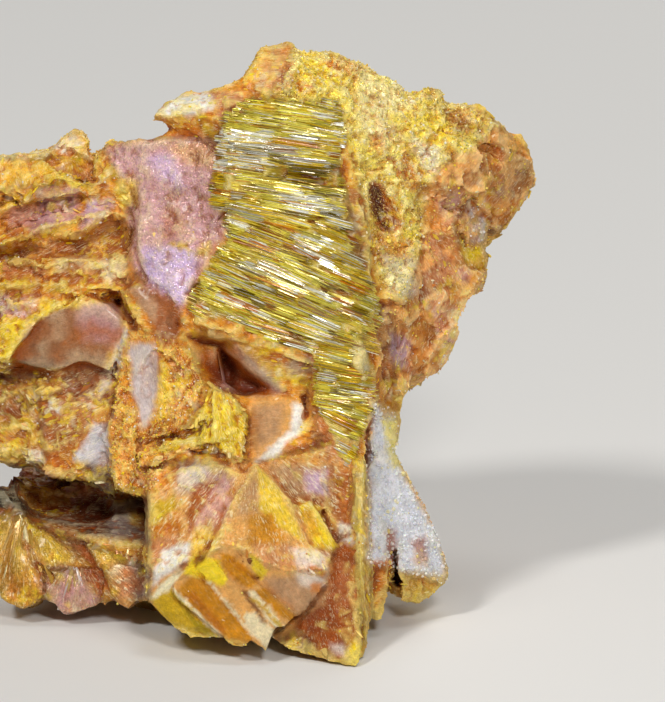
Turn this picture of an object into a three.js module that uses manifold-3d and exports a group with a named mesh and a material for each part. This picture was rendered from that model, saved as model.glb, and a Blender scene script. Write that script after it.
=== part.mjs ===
// Orpiment hand specimen: one broken mass of foliated golden orpiment, with pink and orange cleavage faces,
// a crumbly yellow crust over the shoulder and a pale calcite fan at the foot. Millimetres, +Z up.
//
// Every crystal is drawn square on to the display face, as corners [across, drop, proud]: across to the
// right, drop down from a datum above the summit, proud out of the display plane. Crystals that have grown
// together are one solid.
import * as THREE from "three";
import { ConvexGeometry } from "three/addons/geometries/ConvexGeometry.js";
import { mergeVertices } from "three/addons/utils/BufferGeometryUtils.js";
import Module from "manifold-3d";

const wasm = await Module();
wasm.setup();

// Driving dimensions
const FACE_LEAN = THREE.MathUtils.degToRad(15); // the display face leans back from the vertical
const FRONT_TOE = { drop: 66.6, proud: 9.2 }; // lowest corner, which stands on the table
const CENTRE = { across: 20.95, back: 13.8 }; // middle of the specimen's box
const HEART = { across: 20, drop: 34 }; // middle of the display face
const FLARE = 1.4; // a crystal widens by this behind its face, so that neighbours meet in shallow grooves
const DRAW_IN = 0.013; // and leans in by this share of its distance from the heart, for each mm of depth
const JOINT = 1.3; // depth of the joints between the blocks of a cluster

// A corner [across, drop, proud] of the display face in the part's own frame.
function place([across, drop, proud]) {
  const rise = FRONT_TOE.drop - drop;
  const out = proud - FRONT_TOE.proud;
  return new THREE.Vector3(
    across - CENTRE.across,
    rise * Math.sin(FACE_LEAN) - proud * Math.cos(FACE_LEAN) - CENTRE.back,
    rise * Math.cos(FACE_LEAN) + out * Math.sin(FACE_LEAN),
  );
}

// A closed three.js geometry as a manifold solid.
function solidOf(geometry) {
  const bare = geometry.clone();
  bare.deleteAttribute("normal");
  bare.deleteAttribute("uv");
  const merged = mergeVertices(bare, 1e-4);
  const vertProperties = merged.attributes.position.array;
  const triVerts = new Uint32Array(merged.index.array);
  return new wasm.Manifold(new wasm.Mesh({ numProp: 3, vertProperties, triVerts }));
}

function hull(corners) {
  return solidOf(new ConvexGeometry(corners.map(place)));
}

// The mean of some corners in the display plane.
function middle(corners) {
  return [0, 1].map((k) => corners.reduce((sum, corner) => sum + corner[k], 0) / corners.length);
}

// A corner carried back by depth: it leans in towards the heart, so the outline drawn is the one that shows.
function behind([across, drop, proud], depth) {
  const lean = DRAW_IN * depth;
  return [across - lean * (across - HEART.across), drop - lean * (drop - HEART.drop), proud - depth];
}

// A corner moved away from the middle of its outline, in the display plane.
function spread([across, drop, proud], [midAcross, midDrop], distance) {
  const reach = Math.hypot(across - midAcross, drop - midDrop);
  const scale = Math.max(0, 1 + distance / reach);
  return [midAcross + (across - midAcross) * scale, midDrop + (drop - midDrop) * scale, proud];
}

// A cleavage block: its front corners, and the same outline flared and carried back.
function block(front, depth = 5, flare = FLARE) {
  const mid = middle(front);
  return hull([...front, ...front.map((corner) => behind(spread(corner, mid, flare), depth))]);
}

// Blocks that broke from one mass: the mass is the hull of their faces, drawn in and sunk by a joint's depth.
function cluster(fronts, depth = 8) {
  const corners = fronts.flat();
  const mid = middle(corners);
  const drawn = corners.map((corner) => spread(corner, mid, -JOINT));
  const mass = hull([JOINT, depth].flatMap((sink) => drawn.map((corner) => behind(corner, sink))));
  return [...fronts.map((front) => block(front, depth)), mass];
}

// The core: plain masses that every crystal of the display face grows out of
const CORE = { front: -3.5, wingFront: -9, back: -21, wingBack: -19, narrowing: 0.85, shortening: 0.9 };
function core() {
  const through = (outline, front, back) =>
    hull([
      ...outline.map(([across, drop]) => [across, drop, front]),
      ...outline.map(([across, drop]) => [
        HEART.across + (across - HEART.across) * CORE.narrowing,
        HEART.drop + (drop - HEART.drop) * CORE.shortening,
        back,
      ]),
    ]);
  const upper = [[14, 17], [24, 10], [36, 9], [38.5, 12], [38.5, 26], [37, 35], [14, 34]];
  const lower = [[14, 33], [36.5, 34], [36.5, 46], [36.3, 60], [22, 60], [15, 52]];
  const east = [[37, 13], [50, 15], [50, 20], [46, 28], [44, 34], [37, 36]];
  const west = [[-5, 21], [8, 19], [15, 19], [15, 44], [4, 44], [-5, 38]];
  return [
    through(upper, CORE.front, CORE.back),
    through(lower, CORE.front, CORE.back),
    through(east, CORE.wingFront, CORE.wingBack),
    through(west, CORE.wingFront, CORE.back),
  ];
}

// The summit: two blunt knobs above the golden slab
function summit() {
  return cluster([
    [[25.9, 4.9, -4], [28.6, 4.1, -5], [29.6, 5, -4.5], [30.3, 6.1, -2.6], [29, 8.8, 0], [26.6, 9.4, 0.2],
      [24, 8.7, -1.5], [25.5, 6.2, -2.5]],
    [[30.4, 5.3, -4], [33, 4.6, -4.5], [34.6, 5.7, -4], [36.2, 6.6, -3.6], [35, 9.8, -1], [31, 10, -0.5],
      [29.6, 8, -1.5]],
    [[22.5, 9, -2], [24.3, 8, -2.2], [27, 8.6, -0.8], [27, 10, 0], [24, 11.6, 0]],
  ]);
}

// The shoulder: crumbly masses that run from the summit down to the east tip
function shoulder() {
  return cluster([
    [[34, 6, -4], [36.3, 6.2, -4.5], [38.5, 7.8, -5], [41.9, 9.8, -6], [44, 13, -4], [40, 16, -2],
      [35, 16, -1],
      [33, 10, -1.5]],
    [[42, 9.2, -5], [43, 8.3, -5.5], [44.4, 8.7, -6], [44.6, 9.9, -6], [44, 11.6, -4.5], [42.2, 10.8, -4]],
    [[44.8, 10.2, -6], [48.2, 10.5, -7.5], [49.2, 11.7, -8], [51, 13.2, -9], [50.5, 14.5, -8], [46, 14, -5],
      [44, 12.5, -5]],
    [[50.5, 12.8, -10], [52.1, 13.1, -10.5], [52.5, 14.4, -10.5], [53.9, 16.5, -11], [53.2, 18.5, -11],
      [51.8, 20.2, -10.5], [49.8, 19.5, -9], [50, 15, -8.5]],
    [[48.6, 20, -9.5], [52, 20, -11], [52, 21, -11], [51, 22.2, -10.5], [49.5, 22.8, -10],
      [48.5, 22.2, -9.5]],
    [[41, 13.5, -3.5], [46, 13.8, -4], [49.2, 15.5, -5.5], [49.9, 18.8, -6.5], [46, 19.8, -5.5],
      [43.5, 19.4, -4.5],
      [41.5, 17, -3]],
    [[48.6, 15, -7], [50.2, 16, -7.6], [50.8, 18, -8], [49.8, 19.4, -7.4]],
    [[43.6, 20.6, -6], [45, 19.6, -6.5], [46.3, 20.8, -6.8], [46.5, 22.4, -6.8], [44.5, 22.6, -6]],
    [[46.2, 20.4, -8], [48.3, 20.8, -9], [48.8, 23.5, -9], [48, 25, -8.8], [46.4, 24.4, -7.8]],
  ]);
}

// The crust: yellow granular blocks on either side of the open fissure
function crust() {
  return cluster([
    [[33.5, 10, -1], [40, 10.5, -2.5], [42, 13, -3], [42, 18, -3.2], [39, 19.5, -2], [36, 17, -0.6],
      [33.6, 14, -0.2]],
    [[35.4, 16, -0.2], [37, 17.8, -0.5], [37.2, 22, -0.6], [37, 27.5, -1], [36, 29, -1], [34.4, 25, -0.2],
      [34.2, 20, 0.2]],
    [[37.5, 17.2, -1.5], [40, 17.6, -2], [41.4, 22, -3], [41.2, 26, -3.2], [40, 24.5, -2.6],
      [38.6, 20, -1.6]],
    [[38.2, 23.6, -2.2], [40.5, 23.8, -3], [42, 24, -3.6], [42, 28, -3.4], [40.5, 30.2, -2.5],
      [37.5, 30, -1.6],
      [37.2, 26.5, -1.5]],
    [[40.5, 18, -3.4], [43.6, 19, -5], [44, 22, -6], [46, 24.6, -7], [42.5, 24, -5], [41.4, 22, -3.8]],
    [[42, 23.2, -4.5], [44.3, 23.5, -5.5], [46.5, 26, -7], [46.3, 30.8, -7], [42.2, 31, -5],
      [41.8, 27, -4.3]],
    [[46.5, 24.6, -7], [48.7, 25, -8.5], [48.9, 26, -8.6], [48.2, 27.2, -8.3], [48, 28.4, -8.2],
      [46.5, 29.4, -7.6],
      [46, 27, -6.8]],
    [[40, 31.5, -5], [45.9, 30.6, -8], [46.6, 32.3, -8.5], [46.4, 33.8, -8.5], [44.5, 36.3, -8],
      [42.7, 37.8, -7.5],
      [40, 38, -6.5], [38.8, 35.5, -5.5]],
    [[36.8, 30, -2], [40.5, 30.2, -4], [41, 36, -6], [40, 38.8, -5.6], [37.8, 38.4, -3.4],
      [36.6, 34, -1.6]],
  ]);
}

// The golden slab: bundles of fibre laid down the face like thatch, that fall to the right, steeper lower
// down. Its edges are rows of [drop, across], from the summit to the tail.
const SLAB_LEFT = [[10, 26], [12.5, 23], [16, 22], [21.5, 21.2], [24, 22.2], [28, 19.8], [31.5, 19.6],
  [33, 24],
  [35.5, 31.4], [43, 31.6]];
const SLAB_RIGHT = [[10, 32], [12, 33.6], [16, 34.6], [22, 34.8], [25, 36], [30, 37.8], [33, 36.6],
  [38, 37.6],
  [42, 37.2], [47, 35]];
const BUNDLE = { step: 1.25, width: 2.3, depth: 4, flare: 0.8, longest: 8, overlap: 1.6 };
const BUNDLE_PROUD = [0.3, 1.4]; // least and most that a bundle stands proud
const FALL = { top: 0.14, bottom: 0.38, wander: 0.05, run: 10 }; // fall for each mm of a bundle's run
const UPPER_EDGE = -0.6; // the upper edge of a bundle lies under the bundle above it
const LOWER_EDGE = 0.3; // and its lower edge stands proud
function edgeAt(edge, drop) {
  const next = edge.findIndex((row) => row[0] >= drop);
  const [[fromDrop, from], [toDrop, to]] = [edge[next - 1], edge[next]];
  return THREE.MathUtils.mapLinear(drop, fromDrop, toDrop, from, to);
}
function bundle(across, drop, fall, length, proud) {
  const turn = Math.atan(fall);
  const point = (travel, side, lift) => [
    across + travel * Math.cos(turn) - side * Math.sin(turn),
    drop + travel * Math.sin(turn) + side * Math.cos(turn),
    proud + lift,
  ];
  const half = BUNDLE.width / 2;
  const taper = Math.min(BUNDLE.width, length / 3);
  return block([
    point(0, -half / 3, UPPER_EDGE),
    point(taper, -half, UPPER_EDGE),
    point(length - taper / 2, -half, UPPER_EDGE),
    point(length, half / 3, UPPER_EDGE),
    point(length - taper, half, LOWER_EDGE),
    point(taper / 2, half, LOWER_EDGE),
  ], BUNDLE.depth, BUNDLE.flare);
}
function bundles() {
  const between = seededRange(19);
  const [top, bottom] = [SLAB_LEFT[0][0], SLAB_LEFT.at(-1)[0]];
  const rows = Math.floor((bottom - top) / BUNDLE.step);
  return Array.from({ length: rows }, (_, row) => {
    const drop = top + (row + 0.5) * BUNDLE.step;
    const steady = THREE.MathUtils.mapLinear(drop, top, bottom, FALL.top, FALL.bottom);
    const fall = steady + between(-FALL.wander, FALL.wander);
    const left = edgeAt(SLAB_LEFT, drop) + between(-0.4, 0.6);
    const rightDrop = Math.min(drop + fall * FALL.run, SLAB_RIGHT.at(-1)[0]);
    const right = edgeAt(SLAB_RIGHT, rightDrop) + between(-0.8, 0.2);
    const stretch = Math.hypot(1, fall);
    const length = (right - left) * stretch;
    const parts = Math.ceil(length / BUNDLE.longest);
    const share = length / parts;
    return Array.from({ length: parts }, (_, part) => {
      const start = Math.max(0, part * share - between(0, 2) * BUNDLE.overlap);
      const end = Math.min(length, (part + 1) * share + between(0, 1) * BUNDLE.overlap);
      const across = left + start / stretch;
      return bundle(across, drop + fall * (across - left), fall, end - start, between(...BUNDLE_PROUD));
    });
  }).flat();
}
function goldenSlab() {
  const tail = block([[31.5, 39.6, 1.8], [34, 38.6, 1.9], [37.6, 40, 1.4], [36.9, 42, 1.3],
    [35.9, 43.4, 1.5],
    [34.8, 46.9, 1.3], [33.9, 44.8, 1.4], [33.1, 42, 1.6]], 5);
  const lens = block([[34.3, 31.9, 1.4], [36.2, 32.8, 1.9], [36.8, 35, 2.1], [36.7, 37.8, 2],
    [35.5, 36.8, 2.3],
    [34.5, 34.2, 2]], 4);
  const fin = block([[36.8, 32.6, 0], [38.3, 35, -0.4], [38.2, 39, -0.2], [37.2, 41.6, 0.2],
    [36.5, 38, 0.8]], 5);
  const roof = block([[21, 32.3, 0.4], [24, 33, 0.8], [31.4, 35.6, 0.6], [31.4, 38.6, 0.2], [29.5, 40.2, 0],
    [25, 36.8, -0.2], [21.5, 33.8, -0.4]], 4);
  const backing = block([[23, 10, -0.3], [34, 11, -0.6], [36.4, 20, -0.6], [37.4, 31, -0.4],
    [36.4, 40, 0.4],
    [31.6, 39, 0.2], [30.8, 34, 0.2], [20.6, 31, 0], [20.4, 28, 0.2], [22.2, 21, 0]], 7);
  return [...bundles(), tail, lens, fin, roof, backing];
}

// The horn: a curled blade that overhangs the pink face, on its root
const HORN = { thickness: 3, flare: 0.2 };
function horn() {
  const top = [[15.5, 11.3, -1.5], [17, 10, -2.2], [18.5, 9.5, -2.8], [20.8, 9.4, -3], [21.6, 11, -1],
    [19, 11, -0.5], [17, 11.7, -0.8]];
  const underside = [[16.4, 11.7, -1.2], [19, 11, -0.6], [21.6, 11.2, -0.8], [21.8, 13.9, -1.6],
    [19, 13.6, -2.2], [17.6, 13.2, -2.6]];
  const root = [[20.8, 9.3, -2.6], [23, 8.8, -2.5], [24.5, 9.2, -1], [24.3, 11.5, 0], [22.5, 13.4, 0.2],
    [21.6, 12.8, -0.8], [21, 10.8, -1]];
  return [...[top, underside].map((front) => block(front, HORN.thickness, HORN.flare)), block(root, 8)];
}

// The pink face: smooth cleavage to the left of the slab, with an orange panel under it
function pinkFace() {
  return cluster([
    [[14.4, 14, -2.5], [17, 13.5, -2.8], [21.9, 13.8, -1.2], [21.6, 17, -0.8], [20.8, 21, -0.8],
      [22.5, 23, -0.6],
      [20, 27.5, -0.3], [17.8, 30.6, 0.2], [16.6, 29, -0.2], [14.2, 26.5, -1], [13.8, 22, -1.6],
      [13.7, 18, -2.2]],
    [[11.4, 14.2, -4], [14.6, 13.8, -3], [14.4, 17.8, -2.6], [13.4, 19.6, -3], [12, 16.5, -3.8]],
    [[9.8, 14.6, -5], [10.8, 14.1, -5], [12.6, 16, -4.2], [13.6, 20.4, -3.2], [12, 20.6, -3.6],
      [10, 17.6, -4.4],
      [9.3, 16.4, -5]],
    [[12.4, 29.4, -2], [14.2, 28.2, -1.4], [16.8, 29.4, -0.8], [18.1, 31.4, -0.4], [17.2, 33.8, -0.2],
      [16.2, 35.2, -0.4], [13.5, 31.8, -1.4]],
    [[17.6, 29.6, 0], [19.2, 29.4, 0.4], [20.6, 31.6, 0.2], [18.4, 32.4, 0]],
  ]);
}

// The west lobe: stacked ledges with a hollow under the brim, running past the pink face to a blunt end
function westLobe() {
  const ledge = [
    [[-8, 17.2, -8], [-3, 15.6, -7.4], [0.5, 15.1, -7], [3.5, 15.2, -6.8], [4.6, 14.9, -6.8], [5, 18, -5],
      [1, 18.7, -5.5], [-7, 20.5, -6.5]],
    [[4.4, 15.2, -6.9], [5.6, 14.2, -7.2], [6.6, 13.3, -7.5], [7.2, 13.2, -7.5], [8.4, 14.3, -7],
      [8.7, 17.2, -6], [6, 18, -5], [4.6, 17.6, -5.4]],
    [[2.2, 18.8, -5], [5, 17.7, -4.6], [8, 17.6, -4.3], [10.4, 18.4, -4], [9.8, 19.2, -4], [5, 18.8, -4.2],
      [1.6, 20.2, -4.8]],
  ];
  const hollow = [
    [[-9, 22, -9], [2, 20.5, -8], [6, 18.6, -8], [11, 18.8, -7], [13, 20, -5], [12.4, 23.5, -4.6],
      [6, 23.6, -7],
      [-8, 25, -9]],
    [[-7, 25, -8], [4, 24, -7], [11, 21.6, -5.6], [13.6, 22.6, -4], [13.6, 26.8, -3.6], [4, 27, -6.4],
      [-7, 27, -7.6]],
    [[-8, 26.2, -6.8], [3, 26.8, -5.6], [9.5, 26.6, -4.8], [12.6, 26.4, -3.6], [12.6, 29, -3.4],
      [8, 29.4, -4.2],
      [4, 29.2, -4.8], [-8, 29, -6.6]],
  ];
  const blade = [[-7, 24.4, -6.6], [1.5, 23.9, -5.8], [5.5, 22.7, -5.2], [10.4, 20.3, -4.8],
    [11.2, 21.2, -4.6],
    [9.3, 23.3, -4.8], [7, 24, -4.8], [3, 25, -5.4], [-7, 26, -6.6]];
  const faces = [
    [[-7, 30.4, -7.4], [0, 28.9, -5.6], [3, 28.6, -5], [5.8, 30, -4.6], [3, 31.8, -4.4], [-6, 33.4, -6.6]],
    [[4.2, 31.2, -3.8], [8.5, 29.8, -3.6], [11, 30.6, -3.4], [12.8, 32.6, -3], [12.2, 34.8, -3.2],
      [10.5, 36.6, -3.6],
      [5.5, 36.6, -4.6], [1, 35.6, -5.2], [2.3, 33.6, -4.4]],
    [[-7, 34.4, -6.4], [0, 32.7, -4.4], [3.9, 31.2, -3.5], [2.4, 33.6, -3.4], [0.8, 35.8, -3.6],
      [-6, 37.4, -6]],
  ];
  const pods = [
    [[-8, 36, -9], [5, 36.4, -7], [11, 36.6, -5.4], [11.4, 41, -5], [5, 42.4, -7], [-7, 42.4, -9]],
    [[1.5, 38.3, -6.4], [4.2, 37.5, -6], [5.5, 38.4, -6], [5.2, 39.8, -5.8], [3, 40.4, -6]],
    [[-4, 41.4, -7.6], [1, 41.4, -5.8], [3.2, 43, -5.6], [2.6, 45, -5.4], [1.2, 46.1, -5.4],
      [-4, 45.6, -7]],
    [[2.4, 41.6, -6.4], [7, 40.3, -5.6], [11, 41, -4.4], [10, 44.5, -4.4], [5, 46.4, -4.8],
      [2.4, 46.3, -5.2]],
    [[7.2, 45.6, -4.2], [8.4, 43.6, -4], [9.3, 42.2, -4], [10.9, 42.4, -3.8], [11, 45.8, -3.6],
      [9.8, 46.4, -3.6],
      [8.6, 46.9, -3.8]],
  ];
  const teeth = [
    [[8.3, 46.8, -4.3], [10.4, 46, -4.1], [11.2, 47.6, -4.6], [10.4, 50, -5.6], [9.2, 49.6, -5.6],
      [8.1, 48, -4.8]],
    [[3.6, 47.3, -4.8], [5, 46.6, -4.4], [7.8, 46.4, -4.4], [8.6, 48, -4.6], [7.6, 50, -5.2],
      [6.2, 50.3, -5.2],
      [4.6, 49.4, -5]],
  ];
  const end = block([[-10.4, 25, -13], [-8.6, 19, -10.5], [-8.4, 25, -8.6], [-9.2, 32, -8.8], [-8, 40, -10],
    [-5, 44.6, -9], [-4, 30, -7]], 8);
  const clusters = [ledge, hollow, faces, pods].flatMap((fronts) => cluster(fronts));
  return [...clusters, ...[blade, ...teeth].map((front) => block(front)), end];
}

// The column: granular orange and white rib between the west lobe and the central hollow
function column() {
  return cluster([
    [[12.6, 33, -2.6], [15.6, 33.8, -1.2], [17.2, 36, -0.6], [16.8, 42, -0.2], [15, 47, -0.2],
      [13, 49.4, -0.6],
      [12, 49.4, -1], [10.9, 47.5, -1.6], [11, 42, -2.2], [11.8, 37, -2.8]],
    [[12.2, 49.7, -0.6], [13.6, 46.8, 0.2], [15.2, 46.4, 0.4], [15.2, 49.8, -0.2]],
    [[16.4, 34, -0.6], [20, 31.9, -0.3], [21.6, 33.2, -0.5], [20, 36, -0.8], [22.4, 38.2, -0.6],
      [21, 40, 0.2],
      [17.5, 42, 0.6], [15.6, 40, 0]],
  ]);
}

// The central hollow: a pale facet and a fan of yellow blades around it
function hollow() {
  return cluster([
    [[24.2, 40, -0.8], [28, 39.2, -0.4], [30.6, 40.6, 0.4], [30.4, 42, 0.6], [28, 44.6, 1.2],
      [25.5, 46.3, 1.8],
      [24, 46.4, 1.8], [24, 43, 0.4]],
    [[21.4, 38.4, 0.6], [24.7, 41.2, 1], [24.6, 46, 2.6], [23.4, 46.5, 2.8], [20.8, 43, 1.8]],
    [[14.6, 44, 0.6], [17.4, 41.6, 0.9], [21.2, 41, 1], [21.4, 42, 1], [17.6, 43.2, 1.2]],
    [[14.2, 45.4, 1.2], [21, 43, 1.6], [22, 44, 1.9], [17, 46, 1.8], [13.8, 46.6, 1]],
    [[14.6, 47, 0.4], [18.5, 45.6, 1.2], [23.5, 46.4, 2.2], [25.8, 46.6, 2.4], [22, 49, 2.4], [17, 49, 1.6],
      [14.8, 50, 0.6]],
    [[28.4, 44.4, 1.2], [30.5, 42.4, 0.8], [32.8, 40.5, 0.4], [34.2, 45, 0.8], [33.8, 47.6, 1.2],
      [30, 47.2, 1.8],
      [26.2, 46.4, 2]],
    [[26.2, 46.6, 2.2], [31, 46.6, 1.6], [33.2, 51, 1.6], [30.8, 50.6, 2.4], [28, 49, 2.6]],
    [[33.1, 47.2, 0.9], [34.5, 45.2, 0.9], [35.8, 49, 1.1], [35.7, 53, 1.8], [34.6, 54.6, 2.2],
      [32.4, 50.5, 1.6]],
  ]);
}

// The hammerhead: the lowest block, with a ridged roof and stepped cleavage slats on its front
const SLATS = [
  [[15, 60, 6], [17.1, 57.6, 6.4], [17.4, 59, 7], [22.4, 64, 7.4], [19.6, 63.9, 6.6], [17, 62.2, 6]],
  [[17.4, 58.5, 7.9], [19.4, 57.1, 7.6], [25.1, 63.8, 8.6], [24.3, 64.6, 8.5], [23.4, 64.6, 8.3],
    [17.6, 59.6, 7.9]],
  [[20, 56.8, 7.3], [21.8, 56.5, 7.3], [27.6, 62.5, 8.2], [26.7, 64.8, 8.4], [25.2, 63.9, 8.2]],
  [[22, 55.2, 6.9], [24.3, 57.4, 7.3], [29.6, 61.4, 7.6], [28.4, 62.6, 7.7], [27.6, 62.6, 7.7],
    [21.9, 56.6, 6.9]],
  [[25.6, 58.4, 6.6], [27.5, 56.4, 6.1], [32.8, 58, 5.6], [30.2, 61.3, 6.6], [29.4, 61.6, 6.9]],
];
const SLAT_DEPTH = 9;
const SLAT_FLARE = 1.2;
function hammerhead() {
  const roof = [
    [[14.9, 48.3, 1.4], [18, 47, 2], [21, 46, 2.8], [24.5, 47.5, 3.4], [22.5, 52, 4.6], [19, 56, 5.2],
      [16.5, 57, 4.4], [15, 55, 2.6]],
    [[15, 55, 3.4], [18.6, 55.4, 5.2], [17.2, 58, 6.2], [15, 60, 5.8], [15.2, 57, 4]],
    [[25.7, 46.6, 3.6], [26.2, 52, 5.4], [24.5, 55, 6.6], [20.4, 56.6, 7], [23, 50.5, 4.8]],
    [[25.7, 46.6, 3.6], [29.6, 50.6, 3.8], [31, 54.6, 4.4], [28, 56.8, 6.2], [24.4, 56.4, 6.8],
      [26, 52, 5.4]],
    [[29.4, 50.8, 3.4], [31, 50.1, 2.8], [33.2, 53.4, 2.6], [34, 55.4, 2.8], [33.2, 57, 4], [30, 56, 5]],
    [[28, 55, 5.4], [30.6, 54.2, 4.8], [33.3, 56, 4.2], [32.9, 58.2, 5.2], [27, 58, 6.2]],
  ];
  return [...cluster(roof), ...SLATS.map((slat) => block(slat, SLAT_DEPTH, SLAT_FLARE))];
}

// The red wedge that ends in the front toe, and the thin rib that edges it
function wedge() {
  return [
    block([[34, 54.2, 2.6], [35.7, 53.2, 2.2], [36.3, 58, 4], [36.2, 63, 7], [36, 66, 9], [35.6, 66.6, 9.2],
      [33.5, 66, 8.4], [31, 64.5, 7.2], [28.6, 63.8, 5.4], [27.4, 63.9, 5.6], [30.2, 61, 5.6],
      [32.8, 57.5, 4.6]], 12),
    block([[35.5, 46, 1.2], [36.4, 44, 0.6], [37.2, 50, 0.8], [37.3, 58, 1.8], [37, 62, 3], [36.3, 65.6, 6],
      [35.9, 65.6, 6.6], [35.8, 55, 3.2], [35.4, 50, 2.2]], 6),
  ];
}

// The calcite fan: pale sugary mass that spreads from a narrow neck into two legs
function calciteFan() {
  return [
    block([[37.9, 38.4, -3], [40.6, 38.2, -5.4], [40.1, 40, -5.6], [39.6, 42, -4.8], [39.7, 44.6, -4.6],
      [38.4, 47, -3.4], [36.8, 44, -2.2]], 8),
    block([[36.8, 47.5, -2.2], [38.8, 44.5, -3.4], [39.6, 46, -4], [41.8, 50, -5.4], [43.2, 52.5, -6.2],
      [42, 55, -5.4], [38.4, 55, -2.6], [36.8, 54, -1.6]], 9),
    block([[36.9, 50, -1.8], [38.6, 52, -2.4], [39.1, 57, -2.2], [38.8, 60, -1.8], [38.2, 61.9, -1.4],
      [37.1, 62, -1]], 8),
    block([[39.7, 53, -3.8], [43.2, 52.5, -6.2], [44.4, 55.8, -7], [44.8, 57.9, -7.4], [43.5, 59.2, -7],
      [42, 60.3, -6.4], [40.2, 60.2, -4.6], [39.6, 57, -3.6]], 9),
  ];
}

// The west foot: a fan of bronze blades that forms the floor of the cave
function westFoot() {
  return [
    block([[-1.4, 49.6, -8.4], [-0.2, 48.9, -8], [0.6, 49, -8], [1.6, 50.6, -7.6], [2.6, 52, -7],
      [1.2, 53, -6.6], [-1, 52, -7.4]], 5),
    block([[0.3, 51.4, -7.6], [1.2, 52.2, -6.8], [2.2, 54.5, -5.8], [4.6, 58.5, -5.2],
      [4.2, 59.8, -5.2], [2.2, 61, -5.4],
      [1, 60.4, -5.8], [-0.3, 58.6, -6.4], [-0.8, 55, -7]], 5),
    block([[1.8, 51.6, -7.4], [2.6, 52.2, -6.8], [6.6, 54.6, -5.8], [8.8, 56.4, -5.2], [11.2, 59.8, -4.6],
      [10, 60.2, -4.6], [5, 57.2, -5.2], [3, 55.2, -5.6]], 5),
    block([[4.4, 59.4, -5], [6, 57.2, -5], [9, 58.4, -4.6], [10.2, 60.4, -4.4], [8.2, 61.2, -4.6],
      [6.7, 61.6, -4.8],
      [5.6, 60.6, -5]], 6),
    block([[8, 53.4, -6.4], [11, 53.8, -5.4], [13.8, 55, -4.6], [14.3, 59.6, -3.8], [12.6, 61, -3.8],
      [11.6, 60.4, -4],
      [10, 57.2, -4.6]], 6),
    block([[12.4, 54.6, -5.4], [15.6, 54.6, -2.6], [15.8, 60, -2.4], [14, 60.4, -3.6]], 8),
    block([[0.6, 48.6, -15], [8, 50.5, -14], [15.6, 49.8, -11], [15.6, 56, -4.4], [8, 54.4, -6.6],
      [3, 52.4, -7.6],
      [0.6, 51, -9]], 8),
  ];
}

// The back: foliated rubble of broken cleavage, and the broad foot that carries the specimen's weight.
// Each row is a chunk's centre [across, drop, proud] and its radius.
const RUBBLE = [
  [[-6, 27, -11], 4.2], [[-6, 37, -11], 4.4], [[-2, 24, -14], 5], [[-1, 35, -15], 5.6], [[5, 24, -17], 5.6],
  [[6, 34, -18], 6.4], [[10, 42, -17], 6.2], [[15, 25, -18], 6.4], [[15, 35, -21], 6.8],
    [[18, 46, -20], 6.6],
  [[20, 17, -12], 5.6], [[24, 19, -17], 6.4], [[29, 12, -12], 5.8], [[25, 28, -21], 7], [[25, 39, -22], 7],
  [[27, 50, -20], 6.4], [[35, 15, -14], 5.8], [[35, 23, -18], 6.2], [[33, 33, -20], 6.4],
    [[31, 43, -20], 6],
  [[45, 18, -14], 4.6], [[41, 26, -16], 5], [[12, 53, -18], 5.6], [[33, 56, -14], 5], [[13, 59, -19], 4.6],
  [[21, 59, -22], 5], [[29, 59, -21], 5], [[20, 60.5, -11], 4],
];
const CHUNK = { length: 1.2, width: 0.75, thickness: 0.6 }; // half sides of a chunk, for each mm of radius
const TILT = 0.45; // most that a chunk leans either way, in radians
const SWING = [-0.7, 0.4]; // least and most that it turns in the display plane
const BLUNT = [0.7, 1]; // share of the full size that its corners reach
function backRubble() {
  const between = seededRange(71);
  const chunk = ([across, drop, proud], radius) => {
    const turn = new THREE.Euler(between(-TILT, TILT), between(-TILT, TILT), between(...SWING));
    const corners = Array.from({ length: 8 }, (_, i) => {
      const signs = new THREE.Vector3(i & 1 ? 1 : -1, i & 2 ? 1 : -1, i & 4 ? 1 : -1);
      const corner = signs.multiply(new THREE.Vector3(CHUNK.length, CHUNK.width, CHUNK.thickness));
      return corner.multiplyScalar(radius * between(...BLUNT)).applyEuler(turn);
    });
    return hull(corners.map((corner) => [across + corner.x, drop + corner.y, proud + corner.z]));
  };
  const foot = hull([[8, 48, -13], [34, 48, -11], [34, 63.5, -8], [20, 63.5, -8], [11, 62, -15],
    [12, 60, -22],
    [30, 60, -22], [11, 48, -20], [32, 48, -20]]);
  return [...RUBBLE.map(([centre, radius]) => chunk(centre, radius)), foot];
}

// A repeatable run of numbers, each between the two limits that it is asked for
const STREAM = { multiplier: 16807, modulus: 2147483647 };
function seededRange(seed) {
  let state = seed;
  return (low, high) => {
    state = (state * STREAM.multiplier) % STREAM.modulus;
    return low + ((high - low) * state) / STREAM.modulus;
  };
}

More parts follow.
